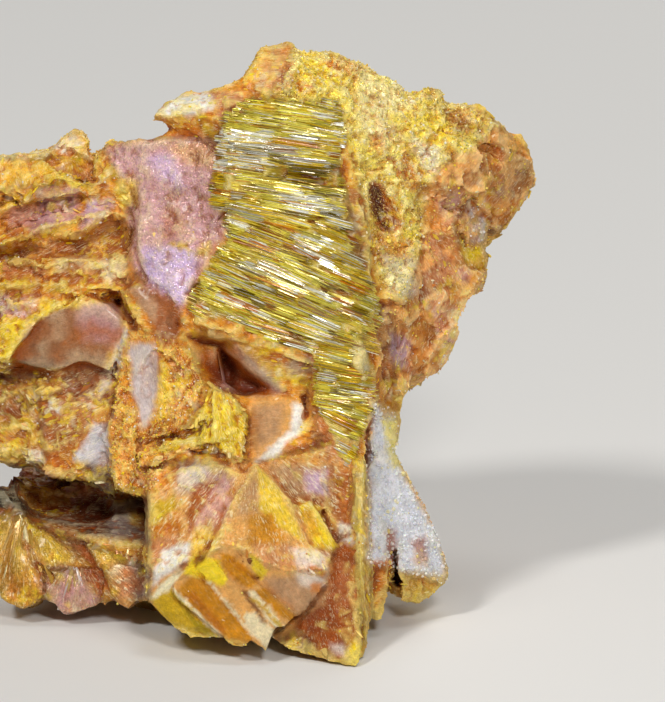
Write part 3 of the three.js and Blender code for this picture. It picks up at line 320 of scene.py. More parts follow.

# Colours of the display face, laid over each other in turn: mineral, border in mm, strength and outline.
# Most colours are minerals; a few are painted shade, shadow, sheen or highlight, as noted.
PATCHES = [
    ("apricot", 1.2, 1.0, [(-14, 12), (14, 12), (13, 30), (12, 48), (-14, 48)]),
    ("crust", 1.0, 1.0, CRUST),
    ("lemon", 1.0, 0.2, CRUST),
    ("mauve", 0.6, 1.0, PINK),
    ("rose", 1.0, 0.5, SHOULDER),
    # Olive under the golden fibres, also painted shade in the gaps between them.
    ("olive", 0.4, 1.0, SLAB),
    ("rose brown", 0.5, 1.0, CONCHOID),
    ("apricot", 0.8, 1.0, COLUMN),
    ("amber", 0.5, 1.0, AMBER_HOLLOW),
    ("peach", 0.8, 1.0, [(14.6, 46.6), (25.5, 46.0), (35.4, 44.0), (34.6, 55.0), (33, 61), (27, 65),
                         (15, 61)]),
    ("ember", 0.5, 1.0, WEDGE),
    ("dark ember", 0.8, 0.25, WEDGE),
    ("tan", 0.3, 1.0, RIB),
    ("calcite", 0.5, 1.0, CALCITE),
    ("rose brown", 0.8, 1.0, FOOT),
    # The cave painted near-black brown: painted shadow.
    ("cave shadow", 0.7, 1.0, CAVE),
    # summit and horn
    ("peach", 0.4, 1.0, [(25.4, 9.0), (27.4, 4.2), (29.5, 4.2), (29.6, 8.6), (27.0, 9.8)]),
    ("rose", 0.4, 0.7, [(25.8, 8.6), (27.2, 6.4), (28.6, 7.0), (29.2, 8.8)]),
    ("orange", 0.3, 0.8, [(27.6, 4.4), (29.4, 4.2), (29.8, 5.4), (28.4, 5.6)]),
    ("lemon", 0.5, 0.8, [(29.4, 5.2), (32.5, 4.6), (34.6, 7.4), (33.4, 10.0), (29.5, 9.6)]),
    ("orange", 0.3, 0.95, [(32.5, 5.8), (34.2, 5.9), (34.0, 7.4), (32.6, 7.3)]),
    ("orange", 0.3, 0.95, [(29.7, 8.0), (31.2, 8.4), (31.0, 9.5), (29.8, 9.2)]),
    ("peach", 0.4, 0.8, [(34.0, 5.8), (36.2, 6.6), (35.8, 7.8), (34.4, 7.4)]),
    ("rose", 0.4, 0.9, [(21.0, 9.4), (24.2, 9.0), (24.6, 11.4), (22.6, 12.6), (21.2, 11.4)]),
    ("frost", 0.3, 1.0, [(15.5, 11.4), (17.2, 9.8), (20.8, 9.4), (21.6, 10.6), (19.8, 11.4),
                         (16.4, 11.9)]),
    ("orange", 0.3, 0.9, [(16.4, 11.8), (19.2, 11.6), (20.8, 13.2), (20.6, 14.0), (18.4, 13.8)]),
    ("gold", 0.3, 1.0, [(19.6, 11.2), (21.8, 12.4), (22.0, 14.0), (20.9, 14.1), (20.0, 12.8)]),
    ("tan", 0.4, 0.8, [(25.0, 9.5), (26.8, 9.6), (26.6, 11.6), (25.2, 11.4)]),
    # crust and shoulder
    ("cream", 0.7, 0.6, [(36.2, 7.0), (41.0, 9.6), (42.0, 13.0), (37.5, 15.0), (35.6, 11.0)]),
    ("lemon", 0.6, 0.9, [(38.8, 10.8), (44.4, 11.4), (46.8, 14.8), (43.0, 15.4), (39.2, 12.6)]),
    ("gold", 0.3, 0.8, [(42.2, 8.5), (44.5, 8.6), (44.8, 11.0), (42.6, 11.2)]),
    ("ember", 0.4, 0.85, [(44.2, 11.0), (46.0, 10.8), (48.4, 12.8), (47.4, 13.6), (45.0, 12.8)]),
    ("peach", 0.4, 0.8, [(45.0, 10.3), (48.0, 10.6), (50.0, 12.4), (47.4, 12.0)]),
    ("frost", 0.5, 0.8, [(41.2, 13.8), (44.0, 15.0), (44.0, 17.2), (42.0, 16.8)]),
    ("rose brown", 0.6, 0.75, [(44.8, 15.2), (48.6, 15.6), (49.6, 18.4), (46.4, 19.6), (44.2, 18.4)]),
    ("orange", 0.3, 0.9, [(48.6, 15.4), (50.0, 15.8), (50.6, 17.8), (49.6, 18.6), (49.2, 16.8)]),
    ("tan", 0.5, 0.9, [(50.4, 13.4), (53.8, 16.4), (53.0, 19.0), (50.2, 20.6), (50.6, 17.0)]),
    ("rose", 0.5, 0.6, [(49.8, 14.8), (54.2, 16.4), (52.6, 21.0), (49.2, 21.0)]),
    ("smoke", 0.5, 0.25, [(51.0, 16.4), (52.8, 17.0), (52.4, 19.4), (49.4, 20.4), (50.4, 18.0)]),
    ("orange", 0.4, 0.8, [(48.4, 20.0), (52.0, 19.8), (51.4, 22.6), (48.8, 22.6)]),
    ("ember", 0.25, 0.9, [(37.4, 13.8), (38.6, 14.6), (41.2, 18.0), (40.6, 18.6), (38.6, 16.0)]),
    ("orange", 0.3, 0.8, [(40.4, 14.2), (42.2, 17.2), (42.0, 19.4), (40.2, 18.8)]),
    ("gold", 0.4, 0.8, [(37.6, 17.4), (40.2, 19.0), (41.0, 24.0), (39.4, 22.8)]),
    ("amber", 0.2, 1.0, FISSURE),
    ("dark ember", 0.3, 0.9, [(37.0, 18.3), (37.8, 18.6), (38.6, 21.0), (38.9, 23.2), (37.6, 23.2),
                              (37.1, 21.4)]),
    ("orange", 0.2, 0.95, [(38.3, 18.6), (39.2, 19.6), (40.5, 22.4), (40.0, 23.4), (39.0, 23.0)]),
    ("dark ember", 0.15, 0.9, [(36.7, 25.0), (37.2, 25.0), (37.0, 27.8), (36.7, 27.8)]),
    ("orange", 0.4, 0.7, [(37.4, 23.2), (41.2, 24.0), (41.0, 26.0), (37.4, 26.4)]),
    ("mauve", 0.4, 0.8, [(43.6, 19.8), (46.0, 19.2), (46.6, 21.8), (44.6, 22.2)]),
    ("calcite", 0.4, 0.95, [(46.6, 20.4), (48.4, 20.2), (48.6, 24.6), (47.4, 24.8), (46.8, 22.4)]),
    ("rose", 0.3, 0.95, [(42.0, 23.6), (45.6, 23.4), (46.2, 27.0), (45.4, 31.0), (42.2, 30.8)]),
    ("apricot", 0.3, 1.0, [(46.0, 24.2), (49.0, 24.2), (48.8, 28.8), (46.2, 29.4)]),
    ("lemon", 0.3, 0.8, [(46.2, 24.6), (48.9, 24.6), (48.6, 27.0), (46.4, 27.4)]),
    ("mauve", 0.3, 0.7, [(46.0, 26.6), (47.4, 26.8), (47.0, 28.4), (45.8, 28.2)]),
    ("frost", 0.5, 0.5, [(38.4, 25.6), (41.6, 25.8), (41.8, 29.6), (38.8, 29.8)]),
    ("smoke", 0.4, 0.5, [(37.6, 30.6), (39.0, 30.6), (39.6, 36.0), (38.4, 39.0), (38.0, 34.0)]),
    ("peach", 0.3, 0.95, [(41.2, 31.0), (46.6, 30.6), (46.8, 33.6), (44.8, 36.8), (42.2, 38.2),
                          (41.0, 35.0)]),
    ("orange", 0.3, 0.8, [(41.2, 32.6), (43.2, 33.2), (43.6, 36.8), (41.8, 37.6), (40.8, 35.4)]),
    ("mauve", 0.25, 0.7, [(43.2, 31.0), (46.6, 30.6), (46.8, 33.8), (44.4, 36.6), (43.6, 34.0)]),
    ("cream", 0.3, 0.7, [(44.6, 30.8), (46.5, 31.2), (46.5, 33.4), (44.8, 33.8)]),
    ("lilac", 0.3, 0.6, [(38.8, 33.2), (40.8, 33.8), (41.2, 37.2), (39.6, 36.8)]),
    ("tan", 0.4, 0.7, [(37.4, 38.6), (40.8, 38.4), (40.4, 41.8), (38.2, 42.0)]),
    # golden slab
    ("orange", 0.2, 0.9, [(25.6, 17.0), (26.1, 17.6), (23.6, 21.6), (22.0, 21.6), (24.4, 20.2)]),
    ("orange", 0.2, 0.8, [(34.4, 21.2), (31.8, 21.8), (28.6, 24.2), (30.6, 22.2), (33.0, 21.0)]),
    # Painted shade: the slab's recess darker bronze.
    ("bronze", 0.3, 0.9, [(28.0, 16.2), (33.0, 17.0), (33.3, 19.2), (28.4, 18.6)]),
    ("rose brown", 0.5, 0.75, [(34.0, 18.4), (36.4, 18.8), (37.2, 28.4), (35.4, 27.0), (34.2, 22.0)]),
    ("orange", 0.3, 0.8, [(36.8, 32.4), (38.4, 32.6), (38.4, 40.2), (36.9, 40.4)]),
    ("cream", 0.2, 0.9, [(34.4, 33.6), (36.6, 34.4), (36.8, 38.2), (36.0, 38.2)]),
    ("orange", 0.3, 0.8, [(34.4, 43.0), (36.0, 43.6), (34.9, 47.0)]),
    ("amber", 0.3, 0.9, [(18.8, 29.8), (20.6, 30.2), (20.9, 31.8), (19.2, 31.4)]),
    # pink face
    ("lilac", 0.5, 0.95, [(14.2, 24.6), (19.4, 24.8), (19.8, 26.4), (18.2, 30.6), (16.8, 29.6),
                          (14.4, 28.0)]),
    ("lilac", 0.5, 0.7, [(14.0, 16.0), (17.0, 15.4), (18.6, 18.6), (17.6, 19.6), (16.0, 17.6)]),
    ("peach", 0.6, 0.6, [(16.6, 14.4), (21.4, 14.4), (21.4, 17.0), (18.4, 16.4)]),
    ("ember", 0.5, 0.55, [(16.2, 21.6), (18.6, 21.4), (18.8, 23.6), (16.2, 24.0)]),
    ("rose brown", 0.4, 0.6, [(16.6, 18.6), (18.2, 18.6), (18.0, 22.0), (16.8, 22.0)]),
    ("gold", 0.2, 0.9, [(16.8, 24.2), (18.8, 24.4), (18.8, 25.0), (17.2, 24.8)]),
    ("gold", 0.2, 0.8, [(20.2, 24.4), (21.4, 24.2), (20.6, 25.6), (19.8, 25.4)]),
    ("ember", 0.25, 1.0, PANEL),
    ("orange", 0.3, 0.7, [(12.0, 28.4), (13.0, 29.0), (16.4, 34.2), (15.4, 34.2)]),
    ("rose brown", 0.5, 0.5, [(13.2, 28.9), (14.6, 28.9), (18.0, 31.4), (17.6, 33.6), (16.4, 34.4)]),
    # west lobe
    ("orange", 0.6, 0.8, [(-6, 15.6), (2.0, 15.6), (5.4, 15.6), (8.8, 15.6), (8.8, 17.0), (3.0, 18.4),
                          (-6, 19.6)]),
    ("lemon", 0.5, 0.45, [(-6, 15.6), (8.4, 15.4), (8.4, 17.4), (2.0, 18.6), (-6, 19.0)]),
    ("frost", 0.3, 0.85, [(5.4, 14.6), (7.2, 13.2), (8.4, 14.2), (7.0, 15.2), (5.6, 15.4)]),
    ("cream", 0.3, 0.7, [(-2.0, 15.2), (5.0, 14.6), (5.4, 15.6), (-2.0, 16.2)]),
    ("gold", 0.3, 0.9, [(9.2, 15.4), (11.4, 16.6), (11.6, 18.0), (9.4, 17.4)]),
    ("lemon", 0.4, 0.8, [(11.2, 17.8), (13.8, 18.2), (13.8, 20.6), (11.8, 20.6)]),
    ("lemon", 0.2, 0.8, [(0.4, 20.4), (5.4, 17.8), (9.8, 18.2), (9.8, 18.8), (5.4, 18.4), (0.6, 21.0)]),
    ("mauve", 0.4, 0.8, [(0.8, 20.6), (4.2, 20.4), (4.2, 22.8), (0.8, 22.8)]),
    ("mauve", 0.3, 1.0, [(4.0, 18.9), (7.8, 18.9), (7.6, 22.4), (4.2, 23.2), (2.8, 23.8)]),
    ("lemon", 0.2, 0.75, [(2.2, 23.8), (7.8, 22.0), (7.8, 22.6), (2.4, 24.4)]),
    ("lilac", 0.3, 0.9, [(8.8, 20.2), (10.8, 19.5), (11.2, 20.6), (9.4, 23.0), (7.4, 23.6)]),
    ("marigold", 0.5, 0.95, [(7.4, 23.2), (12.0, 21.4), (13.4, 23.0), (13.2, 26.0), (7.4, 26.2)]),
    ("marigold", 0.5, 0.85, [(-9.0, 24.0), (2.4, 24.4), (7.4, 24.0), (7.4, 26.6), (-9.0, 26.8)]),
    ("ember", 0.5, 0.5, [(-9.0, 25.6), (3.8, 26.0), (4.6, 26.8), (-9.0, 27.0)]),
    ("ember", 0.4, 0.7, [(10.7, 24.8), (12.7, 24.8), (12.7, 26.6), (10.7, 26.4)]),
    ("rose", 0.4, 0.8, [(-6.0, 26.4), (4.6, 26.6), (4.6, 27.6), (-6.0, 27.8)]),
    ("cream", 0.5, 0.8, [(5.6, 25.9), (12.6, 26.0), (12.6, 28.2), (10.8, 28.6), (9.6, 27.2),
                         (5.8, 27.2)]),
    ("amber", 0.3, 0.8, [(5.7, 27.4), (9.8, 27.3), (9.8, 28.5), (5.7, 28.5)]),
    ("gold", 0.3, 0.8, [(-6.0, 27.9), (6.8, 28.0), (6.8, 29.2), (-6.0, 29.4)]),
    ("lilac", 0.4, 0.6, [(-5.0, 29.4), (3.4, 29.4), (3.4, 31.8), (-5.0, 31.8)]),
    ("smoke", 0.4, 0.5, [(-5.0, 29.4), (3.0, 29.6), (3.0, 31.4), (-5.0, 31.6)]),
    ("lemon", 0.25, 0.95, [(2.6, 31.6), (4.4, 30.2), (8.4, 29.6), (8.6, 30.4), (5.0, 31.3), (3.0, 32.6)]),
    ("mauve", 0.6, 0.6, [(7.8, 30.4), (12.2, 30.4), (12.2, 34.4), (8.4, 34.0)]),
    ("lemon", 0.3, 0.9, [(-4.0, 32.2), (2.8, 31.8), (2.2, 34.2), (0.6, 36.4), (-4.0, 36.4)]),
    ("dark ember", 0.5, 0.85, [(-4.0, 36.2), (2.6, 35.8), (5.6, 36.6), (5.8, 38.4), (-4.0, 38.8)]),
    ("smoke", 0.5, 0.7, [(5.7, 36.8), (10.8, 37.2), (11.0, 40.4), (6.0, 40.6)]),
    ("calcite", 0.3, 0.85, [(12.7, 32.8), (13.1, 33.2), (11.4, 38.0), (9.8, 39.4), (10.4, 37.4)]),
    ("gold", 0.3, 0.9, [(2.4, 37.8), (5.6, 37.8), (5.8, 39.4), (3.4, 39.8)]),
    ("bronze", 0.6, 0.65, [(-5.0, 38.6), (7.4, 38.8), (8.0, 45.4), (-5.0, 46.2)]),
    ("olive", 0.5, 0.8, [(-5.0, 38.6), (3.4, 39.0), (3.2, 42.0), (-5.0, 42.2)]),
    ("rose", 0.5, 0.55, [(3.4, 40.8), (9.8, 40.6), (9.6, 43.4), (3.6, 44.6)]),
    ("orange", 0.4, 0.7, [(4.4, 43.8), (9.6, 42.8), (7.6, 45.4), (4.6, 45.8)]),
    ("rose brown", 0.8, 0.75, [(-5.0, 38.6), (8.0, 38.8), (9.6, 43.4), (4.0, 46.0), (-5.0, 46.2)]),
    ("gold", 0.4, 0.7, [(-5.0, 41.8), (3.0, 41.6), (4.6, 44.6), (4.4, 46.2), (-5.0, 46.2)]),
    ("frost", 0.25, 0.9, [(4.6, 40.0), (6.0, 40.2), (6.0, 41.4), (4.8, 41.2)]),
    ("frost", 0.25, 0.8, [(2.4, 45.0), (4.4, 44.8), (4.4, 46.4), (2.6, 46.2)]),
    ("quartz", 0.2, 1.0, SHARD),
    # column and hollow
    ("quartz", 0.3, 0.85, QUARTZ),
    ("peach", 0.4, 0.5, [(17.0, 35.6), (19.6, 36.6), (19.4, 40.0), (17.2, 40.4)]),
    ("ember", 0.4, 0.6, [(17.4, 36.4), (20.0, 37.2), (19.4, 39.4), (17.6, 38.6)]),
    ("lemon", 0.4, 0.7, [(16.2, 35.0), (17.0, 38.0), (16.8, 43.0), (15.8, 42.0)]),
    ("orange", 0.3, 0.9, [(15.8, 43.0), (20.4, 41.6), (21.2, 42.8), (16.4, 44.4)]),
    ("orange", 0.3, 0.85, [(12.6, 48.4), (16.6, 47.0), (18.4, 47.2), (15.0, 49.4)]),
    ("tan", 0.4, 0.8, [(20.0, 32.8), (23.2, 33.6), (23.0, 34.8), (20.0, 34.8)]),
    ("smoke", 0.4, 0.75, [(23.6, 34.6), (26.6, 37.0), (28.6, 39.2), (27.4, 39.4), (24.8, 36.8)]),
    ("mauve", 0.4, 0.7, [(21.8, 36.8), (23.6, 37.0), (23.6, 39.2), (22.0, 39.0)]),
    ("tan", 0.4, 0.9, [(23.2, 33.8), (27.0, 35.2), (30.6, 36.0), (30.4, 37.6), (27.6, 37.8),
                       (25.6, 36.2)]),
    ("smoke", 0.4, 0.7, [(28.4, 35.5), (31.6, 35.6), (31.6, 37.2), (29.0, 37.4)]),
    ("lemon", 0.2, 0.8, [(28.6, 37.4), (31.2, 38.0), (31.0, 38.8), (29.2, 38.4)]),
    ("peach", 0.4, 0.95, CREAM_FACET),
    ("smoke", 0.6, 0.45, [(25.4, 40.6), (28.4, 40.4), (28.0, 43.6), (25.8, 45.0)]),
    ("frost", 0.25, 0.9, [(29.4, 40.2), (30.5, 40.6), (30.2, 43.0), (27.6, 45.6), (25.4, 46.2),
                          (29.0, 43.0)]),
    ("rose", 0.4, 0.7, [(30.8, 40.4), (32.6, 42.0), (34.4, 46.0), (32.4, 46.2)]),
    ("orange", 0.3, 0.85, [(28.6, 44.2), (30.0, 43.6), (31.8, 46.2), (29.6, 46.0)]),
    ("lemon", 0.4, 0.9, [(21.2, 38.8), (23.0, 39.6), (24.6, 41.6), (24.3, 45.8), (22.0, 45.0),
                         (18.0, 44.4), (15.8, 45.6), (15.4, 44.8), (19.2, 43.0)]),
    # hammerhead
    ("smoke", 0.5, 0.55, [(18.4, 46.2), (22.8, 46.4), (23.2, 49.6), (19.4, 49.0)]),
    ("frost", 0.5, 0.55, [(17.8, 46.6), (21.0, 46.4), (20.0, 49.4), (17.6, 49.2)]),
    ("mauve", 0.5, 0.7, [(20.4, 47.4), (23.6, 47.6), (22.8, 51.8), (21.0, 53.4), (19.4, 53.0)]),
    ("ember", 0.25, 0.9, [(19.4, 48.4), (21.9, 48.0), (20.0, 51.4), (18.8, 53.6), (18.6, 51.4)]),
    ("gold", 0.3, 0.95, [(15.0, 50.6), (17.6, 49.2), (17.8, 51.0), (15.2, 52.6)]),
    ("orange", 0.3, 0.9, [(15.1, 52.6), (17.8, 51.2), (18.2, 53.2), (15.4, 53.8)]),
    ("rose", 0.4, 0.8, [(14.9, 53.8), (18.4, 53.4), (18.4, 55.8), (15.2, 56.2)]),
    ("frost", 0.3, 0.95, [(16.4, 54.8), (19.0, 54.2), (18.8, 56.2), (16.6, 57.4), (15.4, 58.6),
                          (15.6, 56.6)]),
    ("lemon", 0.4, 0.5, [(19.4, 53.0), (21.4, 52.0), (21.6, 55.0), (19.0, 57.0)]),
    ("peach", 0.25, 1.0, [(25.7, 46.5), (26.0, 51.4), (23.0, 51.6), (24.2, 48.4)]),
    ("smoke", 0.4, 0.35, [(25.7, 46.5), (26.0, 51.4), (23.0, 51.6), (24.2, 48.4)]),
    ("lemon", 0.25, 0.70, [(25.8, 46.5), (28.4, 49.6), (30.4, 54.2), (27.6, 52.4), (26.0, 50.8)]),
    ("marigold", 0.3, 0.9, [(25.0, 51.4), (27.2, 51.2), (28.6, 53.8), (28.0, 54.6), (24.8, 54.2)]),
    ("lemon", 0.3, 0.9, [(29.6, 50.2), (32.0, 50.4), (33.8, 54.8), (31.6, 54.8)]),
    ("orange", 0.3, 0.6, [(30.2, 50.8), (31.4, 50.8), (32.0, 53.6), (31.0, 53.6)]),
    ("smoke", 0.5, 0.5, [(26.6, 46.4), (33.6, 46.8), (33.4, 50.4), (29.4, 50.0)]),
    ("lilac", 0.4, 0.6, [(30.4, 47.0), (33.0, 47.2), (32.8, 49.4), (30.6, 49.2)]),
    ("ember", 0.4, 0.75, [(33.0, 47.4), (35.4, 46.8), (35.5, 53.0), (33.8, 52.6)]),
    ("frost", 0.25, 0.95, [(33.6, 52.4), (35.2, 52.4), (35.0, 54.4), (33.8, 54.0)]),
    ("rose", 0.4, 0.7, [(25.4, 54.2), (29.2, 54.4), (33.0, 56.6), (31.0, 57.2), (26.4, 56.4)]),
    ("frost", 0.4, 0.7, [(29.0, 54.8), (32.8, 55.2), (32.6, 56.8), (29.8, 56.6)]),
    ("gold", 0.15, 1.0, [(15.0, 59.9), (17.1, 58.7), (21.3, 62.6), (22.4, 64.3), (19.6, 63.9),
                         (16.9, 62.5)]),
    ("olive", 0.15, 0.8, [(17.4, 59.4), (18.2, 60.0), (21.2, 63.0), (21.4, 64.2), (20.2, 63.4)]),
    ("cream", 0.12, 1.0, [(15.0, 59.8), (16.2, 58.2), (18.2, 56.6), (18.4, 57.0), (17.2, 58.6),
                          (15.6, 59.8)]),
    ("marigold", 0.12, 1.0, [(17.5, 58.8), (19.1, 57.5), (20.8, 58.0), (23.2, 60.8), (25.2, 63.4),
                             (25.0, 64.4), (23.7, 64.8), (22.5, 64.1), (21.3, 62.6)]),
    ("cream", 0.08, 0.9, [(17.1, 58.7), (17.5, 58.7), (21.4, 62.5), (23.2, 64.6), (22.8, 64.6),
                          (21.1, 62.7)]),
    ("amber", 0.15, 0.6, [(18.6, 59.4), (19.4, 59.0), (22.6, 62.6), (22.4, 63.4)]),
    ("peach", 0.12, 1.0, [(20.8, 57.9), (22.4, 58.4), (24.4, 61.0), (25.6, 63.4), (25.2, 63.4),
                          (23.2, 60.8)]),
    ("cream", 0.08, 0.8, [(20.7, 58.0), (21.1, 58.0), (23.4, 60.7), (25.4, 63.4), (25.1, 63.4),
                          (23.1, 60.9)]),
    ("cream", 0.12, 0.85, [(24.3, 61.3), (25.4, 61.1), (27.6, 62.9), (27.3, 63.9), (26.8, 64.8),
                           (25.8, 63.9), (24.9, 62.8)]),
    ("lemon", 0.15, 1.0, [(18.4, 57.2), (19.4, 55.6), (21.8, 55.8), (23.0, 58.0), (22.4, 58.5),
                          (20.6, 57.8)]),
    ("marigold", 0.12, 1.0, [(22.0, 55.3), (23.2, 55.4), (25.1, 57.0), (25.8, 58.2), (25.1, 58.6),
                             (23.7, 58.0), (22.4, 56.5)]),
    ("lemon", 0.15, 0.9, [(25.0, 55.0), (25.8, 55.7), (26.8, 57.1), (26.2, 57.9), (25.2, 56.6)]),
    ("dark ember", 0.10, 0.8, [(24.2, 58.9), (24.7, 58.8), (26.6, 62.0), (26.3, 62.0)]),
    ("cream", 0.12, 0.9, [(24.8, 59.0), (25.6, 58.9), (28.6, 62.6), (28.0, 63.0), (26.6, 61.6)]),
    ("gold", 0.10, 0.9, [(25.2, 59.8), (25.5, 59.6), (28.4, 62.4), (28.1, 62.7)]),
    ("marigold", 0.12, 1.0, [(25.6, 58.8), (26.6, 58.6), (29.6, 61.3), (29.3, 62.1), (27.6, 61.1),
                             (25.8, 59.4)]),
    ("peach", 0.2, 0.9, [(26.0, 57.9), (27.2, 57.0), (30.4, 57.0), (32.8, 57.6), (32.4, 60.4),
                         (30.0, 61.7), (28.8, 60.8), (26.7, 58.8)]),
    ("smoke", 0.5, 0.5, [(26.4, 57.6), (32.6, 57.4), (32.2, 60.4), (29.8, 61.4), (27.2, 59.2)]),
    # Painted sheen: a pale patch at the upper right of the facet.
    ("frost", 0.4, 0.5, [(29.4, 57.0), (32.6, 57.2), (32.4, 58.6), (30.0, 58.4)]),
    ("orange", 0.2, 0.8, [(31.1, 56.4), (32.6, 57.0), (32.4, 57.8), (31.4, 57.4)]),
    ("orange", 0.2, 0.8, [(31.0, 58.0), (32.2, 58.2), (32.0, 59.2), (31.2, 59.0)]),
    # wedge, rib and calcite fan
    ("rose", 0.4, 0.25, [(33.4, 56.4), (35.4, 56.0), (35.5, 60.0), (33.6, 60.6)]),
    ("dark ember", 0.5, 0.45, [(30.2, 61.2), (33.0, 58.6), (33.4, 62.6), (31.2, 63.6)]),
    ("lemon", 0.3, 0.95, [(34.8, 64.2), (36.2, 64.0), (36.0, 66.7), (34.8, 66.2)]),
    # Painted shade: the dark lip below the wedge darkened.
    ("dark ember", 0.4, 0.7, [(27.4, 63.4), (31.2, 62.6), (31.8, 65.0), (28.0, 65.2)]),
    ("frost", 0.3, 0.5, [(33.0, 64.2), (34.4, 64.2), (34.6, 65.4), (33.4, 65.2)]),
    ("crust", 0.3, 0.8, [(38.2, 41.8), (39.8, 42.2), (40.0, 47.0), (39.0, 46.6)]),
    ("peach", 0.3, 0.8, [(41.0, 48.0), (42.0, 48.6), (44.2, 52.4), (43.2, 52.6), (42.0, 50.4)]),
    ("ember", 0.35, 0.7, [(41.1, 54.0), (43.0, 53.8), (42.6, 56.4), (41.2, 56.6)]),
    ("tan", 0.4, 0.85, [(40.2, 57.2), (44.9, 57.4), (44.6, 60.4), (40.4, 60.4)]),
    ("ember", 0.2, 0.8, [(38.6, 52.8), (39.4, 52.8), (39.8, 57.0), (39.0, 57.0)]),
    ("orange", 0.25, 0.95, [(37.0, 56.0), (39.4, 56.0), (39.2, 60.8), (37.2, 60.8)]),
    ("peach", 0.25, 0.9, [(39.2, 56.8), (40.6, 57.4), (40.2, 59.8), (39.2, 59.6)]),
    ("tan", 0.3, 0.9, [(37.0, 60.6), (38.6, 60.4), (38.4, 62.4), (37.2, 62.4)]),
    # cave and west foot
    ("amber", 0.4, 0.8, [(3.6, 46.6), (7.0, 46.8), (8.4, 49.0), (6.8, 50.2), (4.6, 49.4)]),
    ("smoke", 0.4, 1.0, [(8.3, 46.3), (11.2, 46.4), (11.4, 50.6), (9.4, 50.8)]),
    ("smoke", 0.5, 0.7, [(10.6, 49.8), (14.6, 50.0), (14.8, 54.4), (11.0, 54.4)]),
    ("gold", 0.4, 0.6, [(12.8, 51.0), (14.6, 51.2), (14.6, 53.0), (13.0, 52.8)]),
    ("dark ember", 0.5, 0.8, [(1.0, 49.0), (10.4, 50.4), (10.8, 53.6), (5.0, 52.4)]),
    ("rose brown", 0.4, 0.8, [(2.8, 52.0), (7.0, 53.0), (10.8, 54.0), (10.4, 56.0), (6.4, 55.0)]),
    ("gold", 0.3, 0.75, [(2.0, 51.6), (3.6, 52.6), (6.4, 55.2), (8.4, 56.4), (5.0, 56.4), (2.8, 54.4)]),
    ("tan", 0.4, 0.6, [(-6.0, 51.4), (1.6, 51.6), (3.4, 57.0), (4.4, 60.6), (-6.0, 61.0)]),
    ("amber", 0.4, 0.6, [(0.4, 57.4), (4.2, 57.0), (4.0, 60.0), (0.8, 60.4)]),
    ("dark ember", 0.3, 0.7, [(6.8, 55.4), (10.6, 57.0), (12.2, 60.2), (10.6, 60.2), (8.4, 57.2)]),
    ("tan", 0.4, 0.7, [(9.4, 53.9), (14.2, 54.0), (14.4, 56.4), (9.6, 56.2)]),
    ("ember", 0.4, 0.8, [(7.2, 55.8), (10.0, 56.2), (11.4, 60.0), (9.4, 59.4), (7.4, 57.4)]),
    ("mauve", 0.4, 0.85, [(4.8, 58.6), (7.4, 57.4), (9.8, 59.8), (9.6, 61.4), (5.6, 61.8)]),
    ("rose", 0.4, 0.7, [(11.2, 56.8), (13.6, 56.8), (13.8, 61.0), (11.6, 61.0)]),
    ("smoke", 0.4, 0.7, [(13.2, 56.0), (15.2, 56.4), (15.2, 60.0), (13.4, 60.0)]),
]


def facing(points):
    """Across, drop and proud in millimetres of points in metres: place turned back."""
    x, y, z = np.moveaxis(points / MM, -1, 0)
    back = y + MIDDLE_BACK
    up = z + TOE_PROUD * math.sin(FACE_LEAN)
    drop = TOE_DROP - back * math.sin(FACE_LEAN) - up * math.cos(FACE_LEAN)
    return x + MIDDLE_ACROSS, drop, up * math.sin(FACE_LEAN) - back * math.cos(FACE_LEAN)


def chance(cells, seed):
    """A steady random number from 0 to 1 for each whole-number cell: its three numbers and the seed are
    multiplied by odd mixers, joined bit by bit, and stirred twice by shift and multiply."""
    x, y, z = (cells[..., axis].astype(np.uint32) * BIT_MIXERS[axis] for axis in range(3))
    bits = x ^ y ^ z ^ np.array([seed], np.uint32) * BIT_MIXERS[3]
    for stir, shift in zip(BIT_STIRS, BIT_SHIFTS):
        bits = (bits ^ bits >> shift) * stir
    return (bits ^ bits >> BIT_SHIFTS[0]) / WHOLE


def swell(points, size, seed):
    """Soft random height from -1 to 1: the chances of the eight lattice corners round each point, blended
    along each axis by the quintic 6t^5 - 15t^4 + 10t^3."""
    scaled = (points / size).astype(np.float32)
    cell = np.floor(scaled).astype(np.int32)
    t = scaled - cell
    t = t * t * t * (t * (t * 6 - 15) + 10)
    total = np.zeros(len(points), np.float32)
    for corner in itertools.product((0, 1), repeat=3):
        near = np.prod(np.where(corner, t, 1 - t), axis=1)
        total += near * chance(cell + np.array(corner, np.int32), seed)
    return 2 * total - 1


def rough(points, size, seed, rounds=3):
    """Broken random height: swells added up, each half as wide and half as high as the one before."""
    return sum(swell(points, size / 2 ** n, seed + n) / 2 ** n for n in range(rounds))


def drift(points, size, seed):
    """A swell for each of the three axes, to push points about."""
    return np.stack([swell(points, size, seed + axis) for axis in range(3)], axis=1)


def chips(points, size, seed):
    """Broken facets: each lattice cell has one random centre, a point belongs to the nearest centre, and
    its height is on a plane of random tilt through that centre. Gives the height and the chip's chance."""
    scaled = (points / size).astype(np.float32)
    cell = np.floor(scaled).astype(np.int32)
    nearest = np.full(len(points), np.inf, np.float32)
    height = np.zeros(len(points), np.float32)
    own = np.zeros(len(points), np.float32)
    for step in itertools.product((-1, 0, 1), repeat=3):
        home = cell + np.array(step, np.int32)
        centre = home + np.stack([chance(home, seed + axis) for axis in range(3)], axis=1)
        gap = scaled - centre
        far = (gap * gap).sum(axis=1)
        nearer = far < nearest
        tilt = np.stack([chance(home, seed + 3 + axis) for axis in range(3)], axis=1) * 2 - 1
        lift = chance(home, seed + 6)
        nearest = np.where(nearer, far, nearest)
        height = np.where(nearer, (gap * tilt).sum(axis=1) + lift - 0.5, height)
        own = np.where(nearer, lift, own)
    return height, own


def ease(low, high, value):
    """Smooth step from 0 at low to 1 at high: 3t^2 - 2t^3."""
    t = np.clip((value - low) / (high - low), 0, 1)
    return t * t * (3 - 2 * t)


